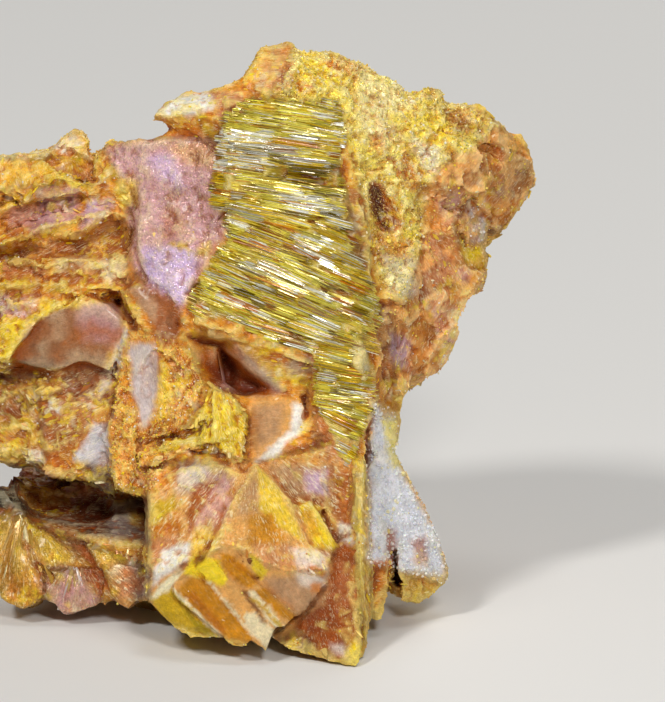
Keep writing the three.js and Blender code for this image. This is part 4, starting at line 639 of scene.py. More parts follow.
def off_edge(across, drop, start, end):
    """Distance from points to a straight edge: to the nearest of its points, found by the share of the edge
    that the way from its start covers."""
    (a, b), (c, d) = start, end
    along = np.clip(((across - a) * (c - a) + (drop - b) * (d - b)) / ((c - a) ** 2 + (d - b) ** 2), 0, 1)
    return np.hypot(across - a - along * (c - a), drop - b - along * (d - b))


def within(across, drop, outline, soft):
    """1 inside a closed outline and 0 outside, eased over soft millimetres: the distance to the nearest
    edge, with its sign from how many edges a level ray crosses."""
    distance = np.full(len(across), np.inf)
    inside = np.zeros(len(across), bool)
    for (a, b), (c, d) in zip(outline, outline[1:] + outline[:1]):
        distance = np.minimum(distance, off_edge(across, drop, (a, b), (c, d)))
        if b != d:
            crosses = (b > drop) != (d > drop)
            inside ^= crosses & (across < (c - a) * (drop - b) / (d - b) + a)
    return ease(-soft, soft, np.where(inside, distance, -distance))


def nearness(across, drop, path, width):
    """1 on an open path, falling off as the bell curve of the distance to it over a width."""
    distance = np.min([off_edge(across, drop, start, end) for start, end in zip(path, path[1:])], axis=0)
    return np.exp(-(distance / width) ** 2)


def comb(across, drop):
    """How fibres run past each point: the distance along them, the distance aside and their angle. Straight
    ones turn the face by their angle, and spreading ones take the radius and the arc about their root."""
    along, aside, angle = across, drop, np.zeros(len(across))
    for outline, lie, root in LIES:
        middle = np.mean(outline, axis=0) if root is None else root
        x, y = across - middle[0], drop - middle[1]
        if root is None:
            turned = x * np.cos(lie) + y * np.sin(lie), y * np.cos(lie) - x * np.sin(lie), lie
        else:
            bearing = np.arctan2(y, x)
            turned = np.hypot(x, y), bearing * FAN_RADIUS, bearing
        share = within(across, drop, outline, 0.25)
        along, aside, angle = (old + (new - old) * share for old, new in zip((along, aside, angle), turned))
    return along, aside, angle


def display_side(points, proud):
    """1 on the display side and 0 behind it, eased over a few millimetres of depth shaken by a swell."""
    return ease(*FRONT_REACH, proud + FRONT_SHAKE * swell(points, 6, 11))


def zones(across, drop, front, soft):
    """How far each point belongs to each region of the display face, from 0 to 1, eased over soft mm."""
    return {name: within(across, drop, outline, soft) * front for name, outline in REGIONS.items()}


def streakiness(zone):
    """How fibrous each point is: one share at large, and each region's own inside it, later ones on top."""
    share = np.full(len(zone["slab"]), STREAKY_AT_LARGE)
    for name, streak in STREAKY.items():
        share = share + (streak - share) * zone[name]
    return share


def settle(points, links, rounds):
    """Every point goes to the mean of its linked neighbours, as many rounds as asked."""
    start, end = links.T
    count = len(points)
    degree = np.bincount(start, minlength=count) + np.bincount(end, minlength=count)
    for _ in range(rounds):
        sums = [np.bincount(start, points[end, axis], count) + np.bincount(end, points[start, axis], count)
                for axis in range(3)]
        points = np.stack(sums, axis=1) / degree[:, None]
    return points


def outward(points, corners):
    """Unit normal at each point: the cross products of its faces' diagonals, added up, and the area too."""
    span = points[corners[:, 2]] - points[corners[:, 0]]
    rise = points[corners[:, -1]] - points[corners[:, 1]]
    face = np.cross(span, rise)
    around = corners.shape[1]
    each_corner = corners.ravel()
    sums = [np.bincount(each_corner, np.repeat(face[:, axis], around), len(points)) for axis in range(3)]
    area = np.bincount(each_corner, np.repeat(np.linalg.norm(face, axis=1), around), len(points))
    total = np.stack(sums, axis=1)
    return total / np.maximum(np.linalg.norm(total, axis=1, keepdims=True), 1e-12), area


def arrays_of(mesh, around):
    """A mesh's points, edges and faces as arrays."""
    points = np.empty(len(mesh.vertices) * 3, np.float32)
    links = np.empty(len(mesh.edges) * 2, np.int32)
    corners = np.empty(len(mesh.loops), np.int32)
    mesh.vertices.foreach_get("co", points)
    mesh.edges.foreach_get("vertices", links)
    mesh.loops.foreach_get("vertex_index", corners)
    return points.reshape(-1, 3).astype(float), links.reshape(-1, 2), corners.reshape(-1, around)


def settled_mesh(owner):
    """The owner's mesh with its modifiers made part of it."""
    mesh = bpy.data.meshes.new_from_object(owner.evaluated_get(bpy.context.evaluated_depsgraph_get()))
    owner.modifiers.clear()
    return mesh


grown = bmesh.new()
grown.from_mesh(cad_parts["orpiment"].data)
bmesh.ops.remove_doubles(grown, verts=grown.verts, dist=MERGE_REACH * MM)
grown.transform(Matrix.Scale(1 / MM, 4))
mass_mesh = bpy.data.meshes.new("mass")
grown.to_mesh(mass_mesh)
grown.free()
mass = bpy.data.objects.new("mass", mass_mesh)
scene.collection.objects.link(mass)
remesh = mass.modifiers.new("even", "REMESH")
remesh.mode = "VOXEL"
remesh.voxel_size = CELL
mass.data = settled_mesh(mass)

skin, links, corners = arrays_of(mass.data, 4)
normal, _ = outward(skin, corners)
smooth = settle(skin, links, GROW_ROUNDS)
hollow = ((smooth - skin) * normal).sum(axis=1)
across, drop, proud = facing(skin * MM)
gaps = sum(share * within(across, drop, outline, border) for outline, share, border in KEPT_OPEN)
grow = GROW_SHARE * (1 - GAP_SHARE * np.clip(gaps, 0, GAP_MOST)) * (hollow > 0)
front = ease(*FRONT_REACH, proud)
worn = front * (0.8 * within(across, drop, PINK_REACH, 0.8)
                + 0.75 * ease(0.5, 1.0, within(across, drop, SLAB, 1.0))
                + 0.85 * within(across, drop, PANEL, 0.6) + 0.6 * within(across, drop, QUARTZ, 0.5)
                + 0.7 * within(across, drop, SHARD, 0.5))
skin = skin + (smooth - skin) * np.maximum(grow, worn)[:, None]

front = display_side(skin, proud)
zone = zones(across, drop, front, 0.5)
towards = np.array(towards_viewer)
seen_face = ease(0.0, 0.35, normal @ towards) * front
raised = sum(height * nearness(across, drop, path, width) for height, width, path in RIMS)
sunk = sum(depth * within(across, drop, outline, border) for depth, border, outline in HOLLOWS)
skin = skin + towards * ((raised - sunk) * seen_face)[:, None]
now = proud + (raised - sunk) * seen_face
spread = np.stack([across, drop, np.ones(len(across))], axis=1)
closed = np.zeros(len(skin), bool)
for outline, depth, border in PLUGS:
    ring = within(across, drop, outline, 1.0)
    ring = (ring > PLUG_RING[0]) & (ring < PLUG_RING[1]) & (seen_face > 0.6)
    for _ in range(PLUG_FITS):
        plane = np.linalg.lstsq(spread[ring], now[ring], rcond=None)[0]
        ring = ring & (np.abs(spread @ plane - now) < PLUG_STRAY)
    level = spread @ plane - depth * within(across, drop, outline, border)
    inside = (within(across, drop, outline, 0.05) > 0.5) & (front > 0.5)
    skin = skin + towards * ((level - now) * inside)[:, None]
    closed |= inside
for _ in range(PLUG_ROUNDS):
    skin = np.where(closed[:, None], settle(skin, links, 1), skin)



def any_of(zone, names):
    """How far each point belongs to any of the named regions: their shares added up, 1 at most."""
    return np.clip(sum(zone[name] for name in names.split()), 0, 1)


crisp = any_of(zone, "slats ridge rib wedge slab head")
calm = any_of(zone, "pink conchoid amber facet slats ridge slab wedge head foot calcite panel quartz shard")
push = 0.42 * drift(skin, 5.2, 13) + 0.24 * (1 - 0.7 * zone["shoulder"])[:, None] * drift(skin, 2.1, 16)
push += 0.35 * zone["west"][:, None] * drift(skin, 3.2, 19)
skin = skin + push * ((1 - 0.75 * crisp) * (1 - zone["fissure"]) * ease(0, FLOOR_CALM, skin[:, 2]))[:, None]
normal, _ = outward(skin, corners)


def wandering(points):
    """Points pushed about by a broad and a fine drift, so that chips made on them have uneven edges."""
    return points + 0.50 * drift(points, 2.4, 21) + 0.16 * drift(points, 0.8, 24)


def cracks(zone, points, low, high):
    """Fine cracks in the crumbly regions: 1 where a rough height crosses 0, eased out from low to high."""
    crumbly = np.clip(zone["crust"] + 0.5 * zone["shoulder"] + 0.4 * zone["column"], 0, 1)
    return crumbly * (1 - ease(low, high, np.abs(rough(points, 4.2, 171))))


def cleaved(points, normals, size, seed, most):
    """The way from each point to its cleavage face, at most so far: points of one chip share a face, the
    plane square to their mean normal, a fifth of the most beyond their mean. Those turned away stay."""
    _, own = chips(points, size, seed)
    _, face = np.unique(own, return_inverse=True)
    middle = np.stack([np.bincount(face, points[:, axis]) for axis in range(3)], axis=1)
    square = np.stack([np.bincount(face, normals[:, axis]) for axis in range(3)], axis=1)
    middle = middle / np.bincount(face)[:, None]
    square = square / np.maximum(np.linalg.norm(square, axis=1, keepdims=True), 1e-9)
    off = np.clip(((middle[face] - points) * square[face]).sum(axis=1) + 0.2 * most, -most, most)
    agrees = ease(0.2, 0.7, (normals * square[face]).sum(axis=1))
    return square[face] * (off * agrees)[:, None]


def drawn_out(points, axis, share):
    """Points squeezed along an axis to a share of their reach, so that what is made on them is longer."""
    axis = np.array(axis) / np.linalg.norm(axis)
    return points + (points @ axis)[:, None] * axis * (share - 1)


def terraces(level):
    """Treads and risers: whole steps of a level, each riser eased over the last third, less the level."""
    return np.floor(level) + ease(0.66, 1.0, level - np.floor(level)) - level


back = 1 - front
standing = ease(0, FLOOR_CALM, skin[:, 2])
cleft = 0.85 * zone["shoulder"] + 0.5 * zone["crust"] + 0.5 * zone["column"]
cleft = np.clip(cleft + 0.5 * zone["west"] * (1 - zone["conchoid"]), 0, 1) * (1 - zone["fissure"])
skin = (skin + cleaved(skin, normal, FRONT_FACE, 201, 0.6) * (cleft * standing)[:, None]
        + cleaved(skin, normal, BACK_FACE, 211, 1.0) * (0.9 * back * standing)[:, None])
normal, _ = outward(skin, corners)
wander = wandering(skin)
along, aside, _ = comb(across, drop)
kinds = {
    "broad": chips(wander, 3.4, 31)[0],
    "middling": chips(wander, 1.5, 41)[0],
    "small": chips(wander, 0.68, 51)[0],
    "level splinters": chips(drawn_out(wander, (1.0, 0.2, 0.15), 0.28), 0.85, 55)[0],
    "steep splinters": chips(drawn_out(wander, (0.45, -0.2, -0.9), 0.30), 0.75, 58)[0],
    "steps": terraces(2.6 * rough(wander, 4.6, 61) + 0.35 * (skin @ np.array([0.35, -0.30, 0.85]))),
    "lines": swell(np.stack([along / 3.0, aside / 0.50, proud / 0.7], axis=1), 1.0, 81),
    "folds": swell(np.stack([along / 6.0, aside / 1.20, proud / 1.6], axis=1), 1.0, 82),
}
stretch = dict(zone, fibrous=streakiness(zone), back=back)
stretch["open"] = (1 - calm) * (1 - 0.7 * zone["shoulder"])
stretch["west"] = zone["west"] * (1 - any_of(zone, "conchoid shard"))
stretch["column"] = zone["column"] * (1 - zone["quartz"])
relief = 0.02 * rough(skin, 0.6, 72)
for name, heights in BREAKS.items():
    relief += stretch[name] * sum(height * kinds[kind] for kind, height in heights.items())
relief += zone["wedge"] * WEDGE_GRAIN * kinds["small"]
relief += zone["calcite"] * CALCITE_GRAIN * rough(skin, 0.5, 88)
relief -= CRACK_DEPTH * cracks(zone, wander, 0.0, 0.07)
relief *= 1 - 0.8 * zone["fissure"]
relief *= ease(0, FLOOR_CALM, skin[:, 2])
skin = skin + normal * relief[:, None]
skin[:, 2] = np.maximum(skin[:, 2], 0)
mass.data.vertices.foreach_set("co", skin.astype(np.float32).ravel())

# Thinning spares the display face a little, and its flat faces a little more.
thin = mass.vertex_groups.new(name="thin")
flat = any_of(zone, "slats ridge facet head")
for weight, chosen in ((1.0, front < 0.5), (0.985, front >= 0.5), (0.96, flat > 0.5)):
    thin.add(np.flatnonzero(chosen).tolist(), weight, "REPLACE")
decimate = mass.modifiers.new("fewer", "DECIMATE")
decimate.ratio = MASS_TRIANGLES / (2 * len(corners))
decimate.vertex_group = "thin"
decimate.use_collapse_triangulate = True
mass.data = settled_mesh(mass)
mass.vertex_groups.clear()

skin, links, corners = arrays_of(mass.data, 3)
skin[:, 2] = np.maximum(skin[:, 2], 0)
normal, skin_area = outward(skin, corners)
crest = ((skin - settle(skin, links, CREST_ROUNDS)) * normal).sum(axis=1)
across, drop, proud = facing(skin * MM)


def daylight(colour):
    """Linear light of a colour given in screen steps of 0 to 255: the screen curve undone."""
    share = np.array(colour) / 255
    return np.where(share <= 0.04045, share / 12.92, ((share + 0.055) / 1.055) ** 2.4)


def blend(first, second, share):
    """Colours between first and second, by a share for each point."""
    return first + (second - first) * np.clip(share, 0, 1)[:, None]


LIGHT = {name: daylight(colour) for name, colour in SURFACE_COLOURS.items()}
BACK_MINERALS = ("apricot", "orange", "peach", "rose", "crust", "mauve", "marigold", "ember", "tan",
                 "rose brown")
# A lighter copy of peach: painted highlight on the shoulder's crests, and a tone for some of its chips.
PALE_PEACH = 1.15 * LIGHT["peach"]
# Multipliers for the painted shade in creases and in deep hollows.
NOOK_SHADE = np.array([0.62, 0.40, 0.22])
DEEP_SHADE = np.array([0.36, 0.22, 0.11])
front = display_side(skin, proud)
zone = zones(across, drop, front, 0.4)
steady = any_of(zone, "slats ridge facet")
pushed = (drift(skin, 1.3, 91) * 0.28 + drift(skin, 0.45, 94) * 0.14) * (1 - 0.75 * steady)[:, None]
shift_across = across + pushed[:, 0]
shift_drop = drop + pushed[:, 1]

# The unseen sides and back carry the same minerals, a mineral to each cleavage face.
_, domain = chips(skin + 0.25 * drift(skin, 1.1, 104), BACK_FACE, 211)
face_light = np.array([LIGHT[name] for name in BACK_MINERALS])
tint = face_light[np.minimum((domain * len(face_light)).astype(int), len(face_light) - 1)]
tint = blend(tint, LIGHT["apricot"], 0.25 + 0.25 * swell(skin, 9, 111))
tint = blend(tint, LIGHT["crust"], 0.5 * ease(0.15, 0.6, rough(skin, 5.0, 113)))
tint = blend(tint, LIGHT["ember"], 0.6 * ease(0.15, 0.6, rough(skin, 4.0, 117)))
seen = np.tile(LIGHT["apricot"], (len(skin), 1))
for colour, soft, strength, outline in PATCHES:
    seen = blend(seen, LIGHT[colour], strength * within(shift_across, shift_drop, outline, soft))
tint = blend(tint, seen, front)

calm = any_of(zone, "conchoid amber facet slats calcite cave panel quartz shard")
edge = ease(0.02, 0.14, crest) * (1 - 0.9 * steady)
# Creases and deep hollows of the skin, to be painted with shade.
painted_crevice_shade = ease(0.02, 0.16, -crest) * (1 - 0.6 * steady)
painted_hollow_shade = ease(0.05, 0.70, ((settle(skin, links, DEEP_ROUNDS) - skin) * normal).sum(axis=1))
other = np.clip(0.8 * zone["pink"] + 0.7 * zone["foot"] + 0.55 * zone["shoulder"], 0, 1)
# Painted highlight: convex crests lightened towards lemon, pale peach and cream.
tint = blend(tint, LIGHT["lemon"], edge * (1 - calm) * (1 - other) * (0.25 + 0.25 * front))
tint = blend(tint, PALE_PEACH, 0.75 * edge * zone["shoulder"])
tint = blend(tint, LIGHT["cream"], (0.22 + 0.2 * zone["crust"]) * edge * (1 - zone["foot"]))
painted_crevice_shade = painted_crevice_shade * (1 - 0.8 * zone["vug"]) * (1 - zone["calcite"])
painted_crevice_shade = painted_crevice_shade * (1 - 0.7 * zone["quartz"]) * (1 - 0.7 * zone["shard"])
painted_hollow_shade = painted_hollow_shade * (1 - zone["calcite"]) * (1 - 0.4 * zone["west"]) * (1 - 0.8 * zone["vug"])
# Painted glow: creases turned orange as if lit from inside. Painted shade: creases and deep hollows
# darkened.
tint = blend(tint, LIGHT["orange"], 0.60 * painted_crevice_shade * (1 - 0.7 * zone["pink"]) * (1 - 0.5 * zone["crust"]))
tint = blend(tint, tint * NOOK_SHADE, 0.85 * painted_crevice_shade * (1 - 0.4 * zone["crust"]))
tint = blend(tint, tint * DEEP_SHADE, 0.95 * painted_hollow_shade)
wander = wandering(skin)
tint = blend(tint, LIGHT["orange"], 0.4 * cracks(zone, wander, 0.02, 0.09))
_, crumb = chips(skin + 0.2 * drift(skin, 0.5, 121), 0.55, 124)
powder = (1 - calm) * (1 - 0.8 * zone["pink"]) * (1 - np.clip(0.7 * zone["head"] + zone["wedge"], 0, 1))
powder = powder * ease(-0.2, 0.5, rough(skin, 3.0, 131))
tint = blend(tint, LIGHT["lemon"], 0.55 * powder * (crumb > 0.80))
tint = blend(tint, LIGHT["cream"], 0.50 * powder * (crumb < 0.08))
tint = blend(tint, LIGHT["orange"], 0.40 * powder * ((crumb > 0.30) & (crumb < 0.42)))
_, shade = chips(skin, FRONT_FACE, 201)
_, piece = chips(wander, 1.5, 41)
faceted = np.clip(zone["shoulder"] + 0.5 * zone["column"] + 0.4 * zone["west"], 0, 1) * (1 - calm)
tint = blend(tint, LIGHT["orange"], 0.5 * faceted * (piece < 0.22))
tint = blend(tint, PALE_PEACH, 0.5 * faceted * (piece > 0.74))
tint = tint * (1 + 0.45 * faceted * (piece - 0.5))[:, None]
own_shade = 1 - 0.16 * zone["slats"] + 0.16 * rough(skin, 1.1, 141)
own_shade = own_shade + 0.55 * zone["shoulder"] * (shade - 0.55)
tint = tint * own_shade[:, None]

gold = np.clip(0.35 * zone["slab"] + 0.35 * zone["foot"], 0, 1)
streak = streakiness(zone)
wavy = 0.10 * drift(skin, 2.6, 151) + 0.03 * drift(skin, 0.7, 154)
along, aside, lie = comb(across + wavy[:, 0], drop + wavy[:, 1])
dull = np.clip(zone["slats"] + zone["ridge"] + 0.6 * zone["head"] + zone["facet"] + zone["wedge"], 0, 1)
glossy_share = {
    "slab": 0.3, "foot": 0.5, "pink": 0.45, "conchoid": 0.3, "west": 0.2, "panel": 0.3, "quartz": 0.3,
}
gloss = 0.3 * (1 - dull) + sum(share * zone[name] for name, share in glossy_share.items())
gloss = np.clip(gloss, 0, 1)
dusty_share = {
    "crust": 1, "column": 0.8, "pink": 0.3, "quartz": -1, "shard": -1, "panel": -1, "wedge": -1, "slab": -1,
}
dust = 0.15 - calm + sum(share * zone[name] for name, share in dusty_share.items())
dust = np.clip(dust, 0, 1)


class Shade:
    """One value in a finish: wraps a node's output, and arithmetic on it adds Math nodes."""

    def __init__(self, tree, socket=None):
        self.tree = tree
        self.socket = socket

    def node(self, kind, settings, sockets, out=0):
        """Adds a node: its settings are set first, then its sockets take values or links."""
        made = self.tree.nodes.new(kind)
        for name, value in settings.items():
            setattr(made, name, value)
        for name, value in sockets.items():
            if isinstance(value, Shade):
                self.tree.links.new(value.socket, made.inputs[name])
            else:
                made.inputs[name].default_value = value
        return Shade(self.tree, made.outputs[out])

    def sum_of(self, operation, first, second):
        """One Math node on two values."""
        return self.node("ShaderNodeMath", {"operation": operation}, {0: first, 1: second})

    def __add__(self, other):
        return self.sum_of("ADD", self, other)

    def __radd__(self, other):
        return self.sum_of("ADD", other, self)

    def __sub__(self, other):
        return self.sum_of("SUBTRACT", self, other)

    def __rsub__(self, other):
        return self.sum_of("SUBTRACT", other, self)

    def __mul__(self, other):
        return self.sum_of("MULTIPLY", self, other)

    def __rmul__(self, other):
        return self.sum_of("MULTIPLY", other, self)

    def mixed(self, other, share, way="MIX"):
        """This colour with another laid over it by a share."""
        settings = {"data_type": "RGBA", "blend_type": way}
        return self.node("ShaderNodeMix", settings, {"Factor": share, 6: self, 7: other}, 2)

    def between(self, low, high):
        """Smooth step of this value from 0 at low to 1 at high."""
        settings = {"interpolation_type": "SMOOTHSTEP"}
        return self.node("ShaderNodeMapRange", settings, {"Value": self, "From Min": low, "From Max": high})

    def kept(self, name, out="Fac"):
        """What the mesh keeps at its points under a name."""
        return self.node("ShaderNodeAttribute", {"attribute_name": name}, {}, out)

    def noise(self, scale, detail, roughness):
        """Lattice noise over this vector, with finer rounds added by detail and roughness."""
        sockets = {"Vector": self, "Scale": scale, "Detail": detail, "Roughness": roughness}
        return self.node("ShaderNodeTexNoise", {}, sockets)

    def stretched(self, times):
        """This vector with each axis multiplied."""
        return self.node("ShaderNodeVectorMath", {"operation": "MULTIPLY"}, {0: self, 1: times})

    def bumped(self, strength, depth):
        """The surface's normal, bent by this value as a height of some depth in metres."""
        return self.node("ShaderNodeBump", {}, {"Strength": strength, "Distance": depth, "Height": self})


def start_finish(name):
    """A new material: its Shade to begin with, and its surface shader."""
    material = bpy.data.materials.new(name)
    material.use_nodes = True
    return material, Shade(material.node_tree), material.node_tree.nodes["Principled BSDF"]


def feed(shader, sockets):
    """Sets a shader's sockets to constants, or links them to values."""
    for name, value in sockets.items():
        if isinstance(value, Shade):
            value.tree.links.new(value.socket, shader.inputs[name])
        else:
            shader.inputs[name].default_value = value


POINT_FIELDS = {"FLOAT": "value", "FLOAT_VECTOR": "vector", "FLOAT_COLOR": "color"}


def store_on_points(mesh, name, values, kind="FLOAT_COLOR"):
    """Keeps a colour, a vector or a number at each point of a mesh, under a name that finishes read."""
    if kind == "FLOAT_COLOR":
        values = np.concatenate([np.clip(values, 0, 1), np.ones((len(values), 1))], axis=1)
    made = mesh.attributes.new(name, kind, "POINT")
    made.data.foreach_set(POINT_FIELDS[kind], values.astype(np.float32).ravel())


mass.data.vertices.foreach_set("co", (skin * MM).astype(np.float32).ravel())
# The tint holds painted highlight on crests, and painted glow and shade in creases and hollows.
store_on_points(mass.data, "tint", tint)
for name, values in {"gold": gold, "gloss": gloss, "dust": dust, "streak": streak}.items():
    store_on_points(mass.data, name, values, "FLOAT")
store_on_points(mass.data, "comb", np.stack([along, aside, proud], axis=1), "FLOAT_VECTOR")
mass.data.shade_smooth()
mass.data.set_sharp_from_angle(angle=FOLD_ANGLE)

FIBRE_SHADOW = (0.52, 0.36, 0.18, 1)
FIBRE_SHINE = (0.97, 0.89, 0.56, 1)
YELLOW_DUST = (0.94, 0.72, 0.22, 1)
WHITE_DUST = (0.95, 0.92, 0.84, 1)
UNDER_SKIN = (1.0, 0.42, 0.12)
finish, begin, shader = start_finish("orpiment_mass")
spot = begin.node("ShaderNodeTexCoord", {}, {}, "Object")
colour = begin.kept("tint", "Color")
golden = begin.kept("gold")
glossy = begin.kept("gloss")
dusty = begin.kept("dust")
streaky = begin.kept("streak")
lie_of = begin.kept("comb", "Vector")
mottle = spot.noise(2400, 5, 0.7)
speck = spot.noise(5200, 2, 0.6)
facet = begin.node("ShaderNodeTexVoronoi", {}, {"Vector": spot, "Scale": 4600}, "Distance")
cell = begin.node("ShaderNodeTexVoronoi", {}, {"Vector": spot, "Scale": 5600}, "Color")
luck = begin.node("ShaderNodeSeparateColor", {}, {"Color": cell}, "Red")
thread = lie_of.stretched((1.1, 11.0, 8.0)).noise(1.0, 3, 0.6)
sheaf = lie_of.stretched((0.45, 2.6, 2.0)).noise(1.0, 2, 0.6)
shine = streaky * thread.between(0.52, 0.64) * sheaf.between(0.38, 0.56)
shadow = streaky * (1 - thread).between(0.52, 0.68)
sparkle = (0.15 + 0.85 * dusty) * luck.between(0.61, 0.65)
colour = colour.mixed(0.40 + 1.20 * mottle, 1.0, "MULTIPLY")
colour = colour.mixed(FIBRE_SHADOW, 0.55 * shadow, "MULTIPLY")
colour = colour.mixed(FIBRE_SHINE, 0.60 * shine)
colour = colour.mixed(YELLOW_DUST, 0.75 * dusty * speck.between(0.56, 0.68))
colour = colour.mixed(WHITE_DUST, 0.5 * dusty * (1 - speck).between(0.62, 0.72))
grain = (1 - 0.8 * streaky) * (0.6 * mottle + 0.4 * facet) + streaky * (0.9 * thread + 0.7 * sheaf)
feed(shader, {
    "Base Color": colour,
    "Roughness": 0.78 - 0.55 * glossy + 0.24 * (mottle - 0.5) - 0.35 * sparkle,
    "Specular IOR Level": 0.25,
    "Metallic": 0.5 * golden + 0.5 * sparkle,
    "Coat Weight": 0.30 * glossy,
    "Coat Roughness": 0.18,
    "Normal": grain.bumped(0.9, 0.16 * MM),
    "Subsurface Weight": 0.12,
    "Subsurface Radius": UNDER_SKIN,
    "Subsurface Scale": 0.9 * MM,
    "IOR": 1.5,
})
mass.data.materials.clear()
mass.data.materials.append(finish)
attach(mass, "root")
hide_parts("orpiment")

# Golden fibres
# Silky parallel fibres of orpiment that make the golden slab's face: hair-thin prisms up to five
# millimetres long, side by side in ribbons that lie along the slab, each a little raised or tilted.
RIBBON_COUNT = 840
FIBRES_EACH = 9
FIBRE_STATIONS = 5
FIBRE_SIDES = 3
RIBBON_LENGTH = (1.4, 5.4)
FIBRE_SPACING = (0.06, 0.11)
FIBRE_HALF_WIDTH = (0.028, 0.066)
FIBRE_JITTER = 0.02
RIBBON_LIFT = (-0.04, 0.20)
RIBBON_SLOPE = 0.15
GLINT_ROLL = -math.pi / 3 - 0.16
FALL_DROPS = [9, 14, 20, 24, 32, 35, 40, 42, 47]
FALL_SLOPES = [0.22, 0.13, 0.15, 0.40, 0.42, 0.26, 0.12, 0.45, 0.60]
# Fibre colours: the first, near white, is painted glint, standing for light caught on the fibres.
SILK = {
    "painted_glint": (252, 250, 230),
    "pale": (250, 234, 84),
    "gold": (232, 192, 16),
    "olive": (140, 116, 0),
    "bronze": (200, 116, 8),
}
SILK_ODDS = (0.14, 0.31, 0.31, 0.14, 0.10)
MAP_CELL = 0.16
MAP_CORNER = (-14.0, 2.0)
MAP_SHAPE = (406, 454)
MAP_EMPTY = -30.0
SAMPLE_STEPS = 5
# Where most fibres are painted glint-white: a patch near the top and a bright streak below it.
GLINT_PATCH = [(21.8, 13.4), (27.4, 13.4), (27.2, 16.8), (21.6, 16.8)]
GLINT_STREAK = [(27.6, 18.8), (33.0, 20.0), (32.8, 21.0), (29.8, 21.0), (27.8, 19.8)]
RECESS = [(28.0, 16.1), (33.2, 17.0), (33.3, 19.3), (28.2, 18.7)]
STRIP = [(33.8, 17.5), (36.4, 18.8), (37.2, 28.4), (35.4, 27.0), (34.2, 22.0)]
PALE_TOP = [(22.0, 9.6), (34.4, 9.8), (34.4, 13.2), (22.0, 13.4)]
LENS = [(34.2, 33.8), (36.6, 34.4), (36.8, 38.4), (35.8, 38.0)]
FIN = [(36.9, 32.6), (38.6, 32.6), (38.5, 40.6), (37.0, 40.4)]
CRACKS = [[(26.0, 17.0), (24.8, 19.8), (22.3, 21.5)], [(34.6, 21.2), (31.8, 21.9), (28.6, 24.2)],
          [(30.2, 26.0), (32.6, 29.4), (33.6, 32.6)]]
CRACK_LOSS = 1.2
CRACK_WIDTH = 0.60
WORN_OFF = [(STRIP, 0.85, 0.3), (RECESS, 0.4, 0.2), (LENS, 1.0, 0.2), (FIN, 1.0, 0.2)]
FALL_SHAKE = 0.04
RAGGED_ENDS = (0.08, 0.6)
SHORTEN_ROUNDS = 4
SHORTEN_TO = 0.7


def front_map(points, triangles):
    """How proud the display face stands over a grid of small cells: every triangle is sampled at even
    shares of its corners, the proudest in a cell counts, and empty cells take their proudest neighbour."""
    steps = range(SAMPLE_STEPS + 1)
    shares = [(a, b, SAMPLE_STEPS - a - b) for a in steps for b in steps if a + b <= SAMPLE_STEPS]
    samples = np.array(shares) / SAMPLE_STEPS @ points[triangles]
    across, drop, proud = facing(samples.reshape(-1, 3))
    rows = ((drop - MAP_CORNER[1]) / MAP_CELL).astype(int).clip(0, MAP_SHAPE[0] - 1)
    columns = ((across - MAP_CORNER[0]) / MAP_CELL).astype(int).clip(0, MAP_SHAPE[1] - 1)
    heights = np.full(MAP_SHAPE, MAP_EMPTY)
    np.maximum.at(heights, (rows, columns), proud)
    for _ in range(2):
        around = [np.roll(heights, turn, axis) for axis in (0, 1) for turn in (-1, 1)]
        heights = np.where(heights < MAP_EMPTY + 1, np.max(around, axis=0), heights)
    return heights


def face_height(across, drop):
    """The display face's proudness at points, blended between the four nearest cells of the front map."""
    row = np.clip((drop - MAP_CORNER[1]) / MAP_CELL - 0.5, 0, MAP_SHAPE[0] - 2)
    column = np.clip((across - MAP_CORNER[0]) / MAP_CELL - 0.5, 0, MAP_SHAPE[1] - 2)
    r, c = row.astype(int), column.astype(int)
    u, v = row - r, column - c
    upper = face_map[r, c] * (1 - v) + face_map[r, c + 1] * v
    lower = face_map[r + 1, c] * (1 - v) + face_map[r + 1, c + 1] * v
    return upper * (1 - u) + lower * u


def loft(rings):
    """Closed skins over rings of points [piece, station, around]: each ring is joined to the next by two
    triangles a side, and the end rings are closed by fans."""
    count, stations, around, _ = rings.shape
    index = np.arange(count * stations * around, dtype=np.int32).reshape(count, stations, around)
    here, above = index[:, :-1], index[:, 1:]
    here_next, above_next = np.roll(here, -1, axis=2), np.roll(above, -1, axis=2)
    walls = [np.stack([here, here_next, above_next], -1), np.stack([here, above_next, above], -1)]
    spoke = np.arange(1, around - 1)
    hub = np.zeros_like(spoke)
    ends = [index[:, 0][:, np.stack([hub, spoke + 1, spoke], -1)],
            index[:, -1][:, np.stack([hub, spoke, spoke + 1], -1)]]
    triangles = np.concatenate([part.reshape(-1, 3) for part in walls + ends])
    return rings.reshape(-1, 3), triangles


def closed_mesh(name, points, triangles):
    """A mesh of flat triangles at points in metres."""
    mesh = bpy.data.meshes.new(name)
    mesh.vertices.add(len(points))
    mesh.vertices.foreach_set("co", points.astype(np.float32).ravel())
    mesh.loops.add(triangles.size)
    mesh.loops.foreach_set("vertex_index", triangles.astype(np.int32).ravel())
    mesh.polygons.add(len(triangles))
    mesh.polygons.foreach_set("loop_start", np.arange(0, triangles.size, 3, dtype=np.int32))
    mesh.update(calc_edges=True)
    mesh.shade_flat()
    return mesh


def spread_over(outline, count, rng):
    """Random spots inside an outline: spots thrown over its box, and those that land inside kept."""
    low, high = np.min(outline, axis=0), np.max(outline, axis=0)
    spots = low + (high - low) * rng.random((count * 6, 2))
    return spots[within(*spots.T, outline, 0.01) > 0.5][:count]


def show(name, mesh, finish):
    """An object at the origin for a finished mesh."""
    mesh.materials.append(finish)
    made = bpy.data.objects.new(name, mesh)
    scene.collection.objects.link(made)
    return made


